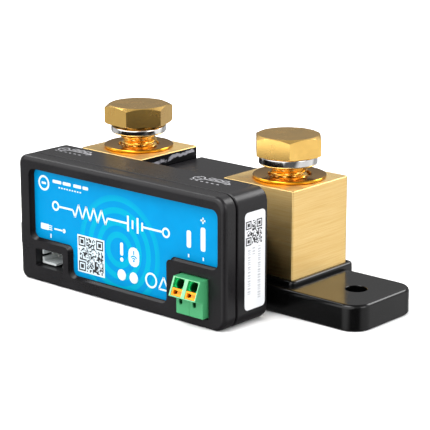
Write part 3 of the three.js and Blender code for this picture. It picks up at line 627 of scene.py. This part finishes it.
# The bar stock's outer edges are rounder than the sawn ones that face the resistor strips.
BLOCK_CORNERS = {"load": (1.3, 0.4, 0.9, 1.0), "battery": (0.4, 0.4, 1.0, 0.9)}
BORE_RADIUS = 5.2
BORE_CHAMFER = 0.4
STRIP_ROOM = 0.3


def make_block(name, sign):
    outline = rounded(span(sign, *BLOCK_X), BLOCK_Y, BLOCK_CORNERS[name], 5)
    body = loft([along_z(outline, z) for z in BLOCK_Z])
    soften(body, 0.22, 3, 60)
    mouth = BORE_RADIUS + BORE_CHAMFER
    bore = [(BORE_RADIUS, 12), (BORE_RADIUS, BLOCK_Z[1] - BORE_CHAMFER), (mouth, BLOCK_Z[1]), (mouth, 32)]
    cuts = [lathe(bore, sign * BOLT_X, BOLT_Y, 48)]
    for number in (1, 2, 3, 4):
        strip_x, strip_y, strip_z = spans(f"resistor_strip_{number}")
        x = span(sign, BLOCK_X[0] - 1, strip_x[1] + STRIP_ROOM)
        cuts.append(block(x, grown(strip_y, STRIP_ROOM), grown(strip_z, STRIP_ROOM)))
    combine(body, cuts)
    piece(body, f"{name}_block_machined", BLOCK_BRASS, replaces=[f"{name}_block"])


# ---- bolts and washers ----

PITCH = 1.5
THREAD_OUTER = 4.9
THREAD_INNER = 4.05
THREAD_LENGTH = 18.6
SHANK = 20
HEAD_HEIGHT = 5.1
ACROSS_FLATS = 16
# How far each head has turned: the direction of one of its corners, in degrees.
HEX_CORNER = {"load": -66.9, "battery": -48.9}
CHAMFER_SLOPE = math.tan(math.radians(27))


def thread_radius(z, angle):
    phase = (z / PITCH - angle / (2 * math.pi)) % 1
    ridge = 1 - abs(2 * phase - 1)
    return THREAD_INNER + (THREAD_OUTER - THREAD_INNER) * min(1, max(0, 1.35 * ridge - 0.18))


def make_bolt(name, sign):
    top = spans(f"{name}_bolt")[2][1]
    bottom = round(top - HEAD_HEIGHT, 3)
    corners = circle(ACROSS_FLATS / math.sqrt(3), 6, math.radians(HEX_CORNER[name]))
    head = loft([along_z(corners, bottom), along_z(corners, top)])
    profile = [(8.6, bottom - 0.01), (10.6, bottom + 1), (10.6, top - CHAMFER_SLOPE * 2.9), (7.7, top)]
    combine(head, [lathe(profile, 0, 0, 96)], "INTERSECT")
    soften(head, 0.13, 2, 20)
    tip = bottom - SHANK
    rows = [tip + i * PITCH / 10 for i in range(int(THREAD_LENGTH / PITCH * 10))]
    steps = [2 * math.pi * i / 48 for i in range(48)]
    rings = []
    for z in rows:
        taper = min(1, (z - tip) / 1.2)
        ring = []
        for angle in steps:
            radius = min(thread_radius(z, angle), THREAD_INNER - 0.4 + 1.3 * taper)
            ring.append((radius * math.cos(angle), radius * math.sin(angle), z))
        rings.append(ring)
    neck = THREAD_INNER + 0.1
    for z in (rows[-1] + 0.3, bottom + 0.4):
        rings.append([(neck * math.cos(angle), neck * math.sin(angle), z) for angle in steps])
    combine(head, [loft(rings)], "UNION")
    head.data.transform(Matrix.Translation((sign * BOLT_X, BOLT_Y, 0)))
    piece(head, f"{name}_bolt_turned", BOLT_BRASS, f"{name}_bolt_body", [f"{name}_bolt"], angle=22)


# The loose flat washers have slid a little to one side on their bolts.
WASHER_SHIFT = {"load": (0, 0), "battery": (0.3, 0.25)}
WASHER_Z = (30.36, 31.2)
WASHER_INNER = 5.5
WASHER_OUTER = 9.3


def make_flat_washer(name, sign):
    low, high = WASHER_Z
    profile = [
        (WASHER_INNER, low + 0.1), (WASHER_INNER + 0.1, low), (WASHER_OUTER - 0.2, low),
        (WASHER_OUTER, low + 0.25), (WASHER_OUTER, high - 0.25), (WASHER_OUTER - 0.1, high - 0.1),
        (WASHER_OUTER - 0.3, high), (WASHER_INNER + 0.2, high), (WASHER_INNER, high - 0.15),
    ]
    shift_x, shift_y = WASHER_SHIFT[name]
    ring = lathe(profile, sign * BOLT_X + shift_x, BOLT_Y + shift_y, 96, closed=True)
    piece(ring, f"{name}_washer_pressed", WASHER_GOLD, f"{name}_washer_body",
          [f"{name}_flat_washer"])


# Each spring washer's low edge, height, and tilt as an axis and degrees.
SPRINGS = {
    "load": (34.53, 1.9, (0.66, 0.75, 0), 2.2),
    "battery": (33.68, 2.3, (0.75, 0.66, 0), -0.8),
}
SPRING_RADII = (5.15, 7.4)
SPRING_RISE = 0.1
SPRING_START = math.radians(100)
SPRING_SWEEP = math.radians(353)
SPRING_SLANT = math.radians(7)
SPRING_STEPS = 96


def make_spring_washer(name, sign):
    """One turn of a square-section spring, cut at a slant, with its ends slightly apart."""
    low, height, axis, degrees = SPRINGS[name]
    section = rounded(SPRING_RADII, (0, height), (0.2, 0.5, 0.5, 0.2), 4)
    rings = []
    for i in range(SPRING_STEPS + 1):
        share = i / SPRING_STEPS
        ring = []
        for r, z in section:
            angle = SPRING_START + SPRING_SWEEP * share + SPRING_SLANT * (z / height - 0.5)
            ring.append((r * math.cos(angle), r * math.sin(angle), z + SPRING_RISE * share))
        rings.append(ring)
    coil = loft(rings)
    tilt(coil, axis, degrees, (0, 0, height / 2))
    coil.data.transform(Matrix.Translation((sign * BOLT_X, BOLT_Y, low)))
    piece(coil, f"{name}_spring_coil", BRIGHT_STEEL, f"{name}_spring_body",
          [f"{name}_spring_washer"])


# ---- enclosure ----

COVER_FRONT = COVER_Y[0]
COVER_BACK = -28.35
HOUSING_FRONT = spans("rear_housing")[1][0]
HOUSING_BACK = -16.6
HOUSING_FILLET = 0.7
LABEL_FLOOR = -30.6
FILM_FRONT = LABEL_FLOOR - 0.12
PRINT_DEPTH = 0.03
ENCLOSURE_TOP = COVER_Z[1] + 0.25
ENCLOSURE_WALL = 2
# Corner radii in the order low-left, low-right, high-right, high-left.
ENCLOSURE_CORNERS = (2.4, 3.6, 3.6, 2.4)
FRONT_FILLET = 1.25
FRONT_WALL = 3.2
BOSS_RADIUS = 4
BOSS_BORE = 2.7
LENS_RADIUS = 1.45
LENS_BACK = spans("light_pipe_1")[1][1]
RECESS_LIP = 0.85
RECESS_GAP = 0.25


def enclosure_outline(inset):
    x = grown(ENCLOSURE_X, -inset)
    radii = [max(0.4, radius - inset) for radius in ENCLOSURE_CORNERS]
    return rounded(x, (inset * 0.6, ENCLOSURE_TOP - inset * 1.1), radii, 10)


def enclosure_hollow(y):
    x = grown(ENCLOSURE_X, -ENCLOSURE_WALL)
    outline = rounded(x, (ENCLOSURE_WALL, ENCLOSURE_TOP - ENCLOSURE_WALL), 2, 6)
    return loft([along_y(outline, level) for level in y])


# Where the label steps round the data port (its right edge and top) and round the plug (its left
# edge and top), and the label's corner radius.
DATA_NOTCH = (-16.7, 11.4)
PLUG_NOTCH = (17.1, 15.4)
LABEL_CORNER = 1.6


def label_outline(grow):
    """The label's outline, with notches round the two raised port surrounds, grown by an offset."""
    left, right = grown(LABEL_X, grow)
    bottom, top = grown(LABEL_Z, grow)
    data_x, data_z = DATA_NOTCH[0] - grow, DATA_NOTCH[1] - grow
    plug_x, plug_z = PLUG_NOTCH[0] + grow, PLUG_NOTCH[1] - grow
    out, back = LABEL_CORNER + grow, max(0.15, LABEL_CORNER - grow)
    steps = 6
    return (
        corner(data_x + out, bottom + out, out, 2 * QUARTER, QUARTER, steps)
        + corner(plug_x - out, bottom + out, out, -QUARTER, QUARTER, steps)
        + corner(plug_x + back, plug_z - back, back, 2 * QUARTER, -QUARTER, steps)
        + corner(right - out, plug_z + out, out, -QUARTER, QUARTER, steps)
        + corner(right - out, top - out, out, 0, QUARTER, steps)
        + corner(left + out, top - out, out, QUARTER, QUARTER, steps)
        + corner(left + out, data_z + out, out, 2 * QUARTER, QUARTER, steps)
        + corner(data_x - back, data_z - back, back, QUARTER, -QUARTER, steps)
    )


def port_cut(x, z, radius):
    outline = rounded(x, z, radius, 3)
    return loft([along_y(outline, COVER_FRONT + depth) for depth in (-1, 4)])


def rod_y(radius, y, x, z):
    outline = [(x + u, z + v) for u, v in circle(radius, 40)]
    return loft([along_y(outline, level) for level in y])


def make_cover():
    rings = [along_y(enclosure_outline(i), COVER_FRONT + rise) for i, rise in fillet_steps(FRONT_FILLET, 8)]
    rings += [along_y(enclosure_outline(0), COVER_BACK - 0.25), along_y(enclosure_outline(0.25), COVER_BACK)]
    body = loft(rings)
    lip = [(RECESS_LIP - inset, COVER_FRONT + rise) for inset, rise in reversed(fillet_steps(RECESS_LIP, 5))]
    flare = [(RECESS_GAP, LABEL_FLOOR)] + [(RECESS_GAP + grow, y) for grow, y in lip]
    flare.append((RECESS_GAP + RECESS_LIP, COVER_FRONT - 1))
    cuts = [
        enclosure_hollow((COVER_FRONT + FRONT_WALL, COVER_BACK + 1)),
        loft([along_y(label_outline(grow), y) for grow, y in flare]),
        port_cut(grown(SOCKET_X, 0.3), grown(SOCKET_Z, 0.3), 0.35),
        port_cut(grown(PLUG_X, 0.4), grown(PLUG_Z, 0.4), 0.3),
    ]
    cuts += [rod_y(LENS_RADIUS + 0.2, (COVER_FRONT, COVER_FRONT + 5), x, LENS_Z) for x in LENS_X]
    combine(body, cuts)
    soften(body, 0.16, 2, 50)
    piece(body, "cover_moulding", SATIN_BLACK, replaces=["front_cover"])


def make_housing():
    rows = [(1.5, HOUSING_FRONT - 0.5), (1.5, HOUSING_FRONT), (0.2, HOUSING_FRONT), (0, HOUSING_FRONT + 0.2)]
    rows += [(inset, HOUSING_BACK - rise) for inset, rise in reversed(fillet_steps(HOUSING_FILLET, 6))]
    body = loft([along_y(enclosure_outline(inset), y) for inset, y in rows])
    combine(body, [enclosure_hollow((HOUSING_FRONT - 2, HOUSING_BACK - 2))])
    boss_y = (HOUSING_BACK - 1, BLOCK_Y[0] - BLOCK_ROOM)
    combine(body, [rod_y(BOSS_RADIUS, boss_y, sign * POST_X, POST_Z) for _, sign in SIDES], "UNION")
    combine(body, [rod_y(BOSS_BORE, (HOUSING_BACK - 3, 0), sign * POST_X, POST_Z) for _, sign in SIDES])
    piece(body, "housing_moulding", SATIN_BLACK, replaces=["rear_housing"])


MIDDLE_FRONT = MIDDLE_Y[0] + 0.05
MIDDLE_WALL = 1.6
ROOF_Z = (25.5, 27.1)
WALL_TOP = 26.2


def make_middle_cover():
    roof = block(MIDDLE_X, (MIDDLE_FRONT, MIDDLE_Y[1]), ROOF_Z)
    walls = [block(MIDDLE_X, (MIDDLE_Y[1] - MIDDLE_WALL, MIDDLE_Y[1]), (8.2, WALL_TOP))]
    for _, sign in SIDES:
        x = span(sign, MIDDLE_X[1] - MIDDLE_WALL, MIDDLE_X[1])
        walls.append(block(x, (MIDDLE_FRONT, -9.7), (MIDDLE_Z[0], WALL_TOP)))
    combine(roof, walls, "UNION")
    soften(roof, 0.3, 3)
    piece(roof, "middle_cover_moulding", SATIN_BLACK, replaces=["middle_cover"])


# ---- printed marks ----

FINDER_CELLS = 7


class Print:
    """Flat marks of one ink, gathered into one thin mesh. Each mark is an outline in u and v."""

    def __init__(self, place):
        self.place = place
        self.vertices = []
        self.faces = []

    def mark(self, outline):
        start, count = len(self.vertices), len(outline)
        for level in (0, 1):
            self.vertices += [self.place(u, v, level) for u, v in outline]
        for i in range(count):
            j = (i + 1) % count
            self.faces.append((start + i, start + j, start + count + j, start + count + i))
        self.faces.append(tuple(range(start, start + count)))
        self.faces.append(tuple(range(start + count, start + 2 * count)))

    def bar(self, u, v, radius=0.0):
        self.mark(rounded(u, v, radius, 3) if radius else rectangle(u, v))

    def disc(self, u, v, radius):
        self.mark([(u + a, v + b) for a, b in circle(radius, 40)])

    def line(self, points, width):
        """A stroke of even width through the points, one quad to a leg."""
        for (u0, v0), (u1, v1) in zip(points, points[1:]):
            length = math.hypot(u1 - u0, v1 - v0)
            a, b = -(v1 - v0) / length * width / 2, (u1 - u0) / length * width / 2
            self.mark([(u0 - a, v0 - b), (u1 - a, v1 - b), (u1 + a, v1 + b), (u0 + a, v0 + b)])

    def arc(self, u, v, radius, width, start=0.0, sweep=2 * math.pi, steps=32):
        near, far = radius - width / 2, radius + width / 2
        for i in range(steps):
            t0, t1 = start + sweep * i / steps, start + sweep * (i + 1) / steps
            ends = ((t0, near), (t1, near), (t1, far), (t0, far))
            self.mark([(u + r * math.cos(t), v + r * math.sin(t)) for t, r in ends])

    def matrix(self, u, v, cells, seed):
        """A meaningless random grid with three square finders, in the box u by v."""
        pick = random.Random(seed)
        step_u, step_v = (u[1] - u[0]) / cells, (v[1] - v[0]) / cells
        for row in range(cells):
            for column in range(cells):
                aside, upward = min(column, cells - 1 - column), min(row, cells - 1 - row)
                reach = max(aside, upward)
                finder = reach <= FINDER_CELLS and not (column > cells // 2 and row < cells // 2)
                if finder and reach < FINDER_CELLS:
                    edge = FINDER_CELLS - 1
                    dark = min(aside, upward, edge - aside, edge - upward) != 1
                else:
                    dark = not finder and pick.random() < 0.5
                if dark:
                    left, low = u[0] + column * step_u, v[0] + row * step_v
                    self.bar((left, left + step_u), (low, low + step_v))

    def finish(self, name, material):
        piece(shape(self.vertices, self.faces), name, material)


def on_label(level_shift):
    return lambda u, v, level: (u, FILM_FRONT - level_shift - PRINT_DEPTH * level, v)


# Rows of bars on the label: (low, high) in u, (low, high) in v, and corner radius.
LABEL_BARS = (
    # The bar inside the round mark, and the bars beside it.
    ((-27.9, -26.3), (26.0, 26.6), 0.2),
    ((-23.8, -20.6), (26.9, 27.75), 0.25),
    ((-20.1, -17.2), (26.9, 27.75), 0.25),
    ((-16.2, -13.4), (26.9, 27.75), 0.25),
    ((-12.9, -10.9), (26.9, 27.75), 0.25),
    # Data port: the plug sign's body, and a tick that leads down to the opening.
    ((-28.6, -25.6), (13.9, 15.5), 0.3),
    ((-25.1, -24.7), (12.0, 13.1), 0),
    # The upright of an exclamation mark, and the capsule that holds the radio sign.
    ((0.1, 1.1), (12.2, 15.6), 0.45),
    ((2.95, 6.6), (10.1, 15.1), 1.7),
    # The code square's white ground.
    ((-15.1, -5.5), (5.1, 14.9), 0),
    # Over the plug: two ticks, two upright bars, and a plus sign over the right-hand one.
    ((22.9, 23.3), (16.2, 17.0), 0),
    ((22.5, 23.9), (18.6, 22.9), 0.5),
    ((27.6, 28.0), (16.2, 17.0), 0),
    ((27.0, 28.5), (18.5, 24.4), 0.5),
    ((27.0, 28.5), (25.9, 26.3), 0),
    ((27.55, 27.95), (25.35, 26.85), 0),
)
# The circuit sign across the label: its height, half its zigzag's height, and its battery plates,
# each as (low, high) in u with half its height.
CIRCUIT_Z = 20.9
ZIGZAG_HALF = 1.75
PLATES = (((2.6, 3.2), 2.0), ((4.2, 4.75), 1.1), ((5.9, 6.5), 2.0), ((7.5, 8.05), 1.1))


def make_label_film():
    film = loft([along_y(label_outline(0), y) for y in (FILM_FRONT, LABEL_FLOOR)])
    combine(film, [rod_y(LENS_RADIUS + 0.05, (FILM_FRONT - 1, LABEL_FLOOR + 1), x, LENS_Z) for x in LENS_X])
    piece(film, "label_printed", LABEL_BLUE, replaces=["front_label"])


def make_white_marks():
    white = Print(on_label(0))
    white.arc(-27.1, 26.3, 1.75, 0.55)
    for u, v, radius in LABEL_BARS:
        white.bar(u, v, radius)
    for i in range(9):
        white.bar((-21.6 + i * 0.95, -21.1 + i * 0.95), (25.75, 26.1))
    # A circuit: terminal, resistor, battery, terminal.
    z = CIRCUIT_Z
    white.arc(-22.9, z, 1.05, 0.5)
    white.line([(-21.8, z), (-16.6, z)], 0.5)
    peaks = [(-15.8 + 1.35 * i, z + (ZIGZAG_HALF if i % 2 else -ZIGZAG_HALF)) for i in range(9)]
    white.line([(-16.6, z), *peaks, (-4.2, z)], 0.48)
    white.line([(-4.2, z), (2.6, z)], 0.5)
    for u, half in PLATES:
        white.bar(u, (z - half, z + half))
    white.line([(8.05, z), (14.6, z)], 0.5)
    white.arc(15.7, z, 1.05, 0.5)
    # The data port's plug sign: three contacts and a lead that ends in a dot.
    for i in range(3):
        white.bar((-25.6, -24.4), (14.05 + i * 0.52, 14.3 + i * 0.52))
    white.line([(-23.6, 14.7), (-20.2, 14.7)], 0.4)
    white.disc(-20.0, 14.7, 0.55)
    # The exclamation mark's dot, then a plain ring and a triangle beside the indicators.
    white.disc(0.6, 11.2, 0.55)
    white.arc(10.6, 7.8, 1.75, 0.5)
    white.line([(13.2, 6.2), (16.4, 6.2), (14.8, 9.4), (13.2, 6.2)], 0.45)
    white.finish("label_marks_white", PRINT_WHITE)


def make_radio_sign():
    """Two arcs over a dot, and a short upright, in the label's blue on the white capsule."""
    blue = Print(on_label(PRINT_DEPTH))
    for radius in (0.55, 1.15):
        blue.arc(4.78, 11.7, radius, 0.32, math.radians(35), math.radians(110), 12)
    blue.disc(4.78, 11.6, 0.28)
    blue.bar((4.6, 4.95), (13.2, 14.2), 0.1)
    blue.finish("label_marks_blue", LABEL_BLUE)


def make_label_code():
    black = Print(on_label(PRINT_DEPTH))
    black.matrix((-14.7, -5.9), (5.5, 14.5), 25, 11)
    black.finish("label_code_black", PRINT_BLACK)


def make_lenses():
    rim = LENS_RADIUS - 0.15
    rows = [(rim, FILM_FRONT - 0.10), (LENS_RADIUS, FILM_FRONT + 0.02), (LENS_RADIUS, LENS_BACK)]
    for number, x in enumerate(LENS_X, 1):
        rings = [along_y([(x + u, LENS_Z + v) for u, v in circle(r, 40)], y) for r, y in rows]
        piece(loft(rings), f"lens_{number}", LENS_WHITE, replaces=[f"light_pipe_{number}"])


STICKER_FACE = ENCLOSURE_X[1]
STICKER_Y = (-25.3, -17.9)
STICKER_Z = (4.0, 28.2)
STICKER_GAP = 0.02
STICKER_THICKNESS = 0.12


def on_sticker(u, v, level):
    return (STICKER_FACE + STICKER_GAP + STICKER_THICKNESS + PRINT_DEPTH * level, u, v)


def make_side_sticker():
    outline = rounded(STICKER_Y, STICKER_Z, 1.1, 6)
    depths = (STICKER_GAP, STICKER_GAP + STICKER_THICKNESS)
    film = loft([[(STICKER_FACE + depth, u, v) for u, v in outline] for depth in depths])
    piece(film, "side_sticker", PAPER_WHITE, replaces=["side_label"])
    black = Print(on_sticker)
    black.matrix((-25.0, -19.1), (20.1, 26.1), 21, 5)
    black.finish("side_code_black", PRINT_BLACK)
    grey = Print(on_sticker)
    pick = random.Random(3)
    for centre, low, high in ((-23.8, 7.9, 19.4), (-22.1, 17.6, 19.5), (-20.1, 6.4, 19.4)):
        v = low
        while v < high:
            step = pick.choice((0.45, 0.6, 0.8))
            grey.bar((centre - 0.5, centre + 0.5), (v, min(high, v + step * 0.5)))
            v += step
    grey.finish("side_marks_grey", PRINT_GREY)


TOP_SIGNS_X = (-24.4, 22.9)
TOP_SIGNS_Y = -21.2


def make_top_marks():
    """Thin printed signs over each block: a ring, an arrow, three small boxes and a row of dashes."""
    top = Print(lambda u, v, level: (u, v, ENCLOSURE_TOP + 0.01 + PRINT_DEPTH * level))
    y = TOP_SIGNS_Y
    for centre in TOP_SIGNS_X:
        top.arc(centre - 4.9, y, 1.5, 0.22)
        top.line([(centre - 5.7, y), (centre - 4.1, y)], 0.24)
        top.line([(centre - 3.4, y), (centre + 5.2, y)], 0.22)
        top.line([(centre + 3.9, y + 0.8), (centre + 5.2, y), (centre + 3.9, y - 0.8)], 0.22)
        for start in (-2.6, -0.4, 1.8):
            box = rectangle((centre + start, centre + start + 1.5), (y + 0.8, y + 2))
            top.line([*box, box[0]], 0.2)
        for i in range(6):
            top.line([(centre - 6 + i * 1.7, y - 2.1), (centre - 5.2 + i * 1.7, y - 2.1)], 0.26)
    top.finish("housing_marks", TOP_PRINT)


# ---- data socket ----

SOCKET_BACK = -22.7
SOCKET_WALL = 0.65


def make_data_socket():
    x, z, front = SOCKET_X, SOCKET_Z, SOCKET_Y[0]
    body = block(x, (front, SOCKET_BACK), z)
    cuts = [block(grown(x, -SOCKET_WALL), (front - 1, -24.4), grown(z, -SOCKET_WALL))]
    cuts += [block(grown((edge, edge), 1), (front - 1, front + 3.2), (6.25, 6.95)) for edge in x]
    cuts.append(block((x[1] - 4.4, x[1] - 2.0), (front - 1, front + 3.4), grown((z[0], z[0]), 1)))
    combine(body, cuts)
    soften(body, 0.1, 2)
    piece(body, "data_socket_moulding", SOCKET_WHITE, replaces=["data_socket"])


# ---- pluggable terminal ----

def slope_point(rise, depth):
    """A (y, z) point on the wire-entry slope: up it from the nose, then square into it."""
    return (
        NOSE[0] + UP_SLOPE[0] * rise + INTO_SLOPE[0] * depth,
        NOSE[1] + UP_SLOPE[1] * rise + INTO_SLOPE[1] * depth,
    )


def slope_box(x, rise, depth):
    outline = [slope_point(r, d) for r, d in rectangle(rise, depth)]
    return loft([[(u, y, z) for y, z in outline] for u in x])


def slope_rod(x, rise, radius, depth):
    outline = circle(radius, 36)
    return loft([[(x + u, *slope_point(rise + v, d)) for u, v in outline] for d in depth])


LEVER_TOP = 2.25
LEVER_GAP = 0.06


def make_plug():
    back, bottom = PLUG_Y[1], PLUG_Z[0]
    profile = [(back, bottom), (back, PLUG_Z[1]), BROW, NOSE, (PLUG_FACE, 6.9), (PLUG_FACE, bottom)]
    body = loft([[(x, y, z) for y, z in profile] for x in PLUG_X])
    soften(body, 0.16, 3)
    cuts = []
    for x in POCKET_X:
        width = (x - POCKET_HALF, x + POCKET_HALF)
        cuts.append(slope_box(width, POCKET_RISE, (-1, POCKET_DEPTH)))
        cuts.append(slope_box(width, (POCKET_RISE[0], LEVER_TOP + 0.1), (0, 3.6)))
        cuts.append(slope_rod(x - 0.1, 3.5, 1.3, (0, 6)))
        test_hole = rounded((x - 1.3, x - 0.2), TEST_HOLE_Z, (0.5, 0.5, 0.1, 0.1), 4)
        cuts.append(loft([along_y(test_hole, -34.7), along_y(test_hole, -31)]))
        cuts.append(block((x - 1.4, x + 1.4), (back - 6, back + 1), (4, 7)))
    cuts.append(block(grown((PLUG_MIDDLE, PLUG_MIDDLE), 0.05), (-34.5, -34.05), (2, 6.7)))
    combine(body, cuts)
    piece(body, "plug_moulding", PLUG_GREEN, "plug_body", ["terminal_plug"])


def make_levers():
    for number, x in enumerate(POCKET_X, 1):
        low, high = x - POCKET_HALF + LEVER_GAP, x + POCKET_HALF - LEVER_GAP
        lever = slope_box((low, high), (POCKET_RISE[0] + LEVER_GAP, LEVER_TOP), (0.1, 2.6))
        groove = slope_box((low + 0.45, high + 1), (0.9, 1.65), (-1, 0.6))
        notch = slope_box((low + 0.45, low + 1.4), (0.75, 1.8), (-1, 1.6))
        combine(lever, [groove, notch])
        soften(lever, 0.06, 2)
        piece(lever, f"lever_moulding_{number}", LEVER_ORANGE, f"lever_body_{number}",
              [f"release_lever_{number}"])


# ---- studio ----

# Panels of light: direction, the cosines from it at which each starts and is full, and strength.
PANELS = (
    ((0.89, 0.42, -0.12), 0.62, 0.88, 0.96),
    ((-0.15, -0.90, 0.42), 0.63, 0.80, 2.0),
    ((-0.95, -0.25, -0.20), 0.86, 0.97, 0.5),
    ((-0.08, 0.97, -0.20), 0.86, 0.97, 0.4),
)
# Lamps: name, place and target in metres, size in metres, power in watts.
LAMPS = (
    ("key", (-0.10, -0.55, 0.90), (0, 0, 0), (0.5, 0.5), 4.4),
    ("left", (-0.66, -0.08, 0.74), (0, 0, 0.02), (0.35, 0.35), 1.6),
    ("right", (0.95, 0.10, 0.55), (0, 0, 0.02), (0.5, 0.5), 2.6),
    ("back", (0.30, 0.80, 0.66), (0, 0, 0.02), (0.5, 0.35), 4.0),
    ("overhead", (-0.1, 0.1, 1.0), (0, 0, 0), (0.7, 0.7), 5.5),
)
FLOOR_HALF = 4000
FLOOR_THICKNESS = 0.2
CAMERA_PLACE = (0.29302, -0.32692, 0.13480)
CAMERA_DROP = 15.10
CAMERA_TURN = 41.44
CAMERA_LENS = 145.8


def make_world():
    """Light that grows with height up to a dimmer zenith, with soft panels on four sides."""
    world = bpy.data.worlds.new("studio")
    scene.world = world
    world.use_nodes = True
    nodes = Nodes(world.node_tree, "Generated")
    height = nodes.axes()[2]
    sky = nodes.span(height, 0.20, 0.66, 0.19, 1.0)
    below_horizon = nodes.span(height, -0.02, -0.12, 0, -0.07)
    zenith = nodes.span(height, 0.62, 0.92, 1, 0.42)
    level = nodes.product(nodes.math("ADD", sky, below_horizon), zenith)
    above_ground = nodes.span(height, -0.50, -0.30)
    for centre, edge, full, strength in PANELS:
        limits = {"From Min": edge, "From Max": full, "To Max": strength}
        inputs = {"Value": nodes.dot(nodes.place, centre), **limits}
        panel = nodes.node("ShaderNodeMapRange", inputs, interpolation_type="SMOOTHSTEP")
        level = nodes.math("ADD", level, nodes.product(panel.outputs["Result"], above_ground))
    background = nodes.tree.nodes["Background"]
    nodes.tree.links.new(level, background.inputs["Color"])
    background.inputs["Strength"].default_value = 1.0


def make_lamp(name, place, target, size, power):
    data = bpy.data.lights.new(name, "AREA")
    data.shape = "RECTANGLE"
    data.size, data.size_y = size
    data.energy = power
    lamp = bpy.data.objects.new(name, data)
    scene.collection.objects.link(lamp)
    lamp.location = place
    lamp.rotation_euler = (Vector(target) - Vector(place)).to_track_quat("-Z", "Y").to_euler()
    return lamp


def make_floor():
    floor = block((-FLOOR_HALF, FLOOR_HALF), (-FLOOR_HALF, FLOOR_HALF), (-FLOOR_THICKNESS, 0))
    floor.name = "floor"
    floor.data.transform(Matrix.Scale(MM, 4))
    white = (0.93, 0.93, 0.93)
    paper = moulded("floor_paper", white, 0.9, spread=0.004, grain=400, bump=0.0, Specular_IOR_Level=0.0)
    floor.data.materials.append(paper)
    floor.visible_glossy = False


def make_studio():
    make_world()
    lamps = [make_lamp(*values) for values in LAMPS]
    # The last lamp, overhead, would burn out the flat tops if they mirrored it.
    lamps[-1].visible_glossy = False
    make_floor()


def make_camera():
    data = bpy.data.cameras.new("camera")
    camera = bpy.data.objects.new("camera", data)
    scene.collection.objects.link(camera)
    scene.camera = camera
    data.sensor_width = 36
    data.lens = CAMERA_LENS
    data.clip_start = 0.01
    camera.location = CAMERA_PLACE
    camera.rotation_euler = (math.radians(90 - CAMERA_DROP), 0, math.radians(CAMERA_TURN))


make_base()
for side, sign in SIDES:
    make_block(side, sign)
    make_bolt(side, sign)
    make_flat_washer(side, sign)
    make_spring_washer(side, sign)
make_cover()
make_housing()
make_middle_cover()
make_label_film()
make_white_marks()
make_radio_sign()
make_label_code()
make_lenses()
make_side_sticker()
make_top_marks()
make_data_socket()
make_plug()
make_levers()
make_studio()
make_camera()
scene.view_settings.view_transform = "Standard"
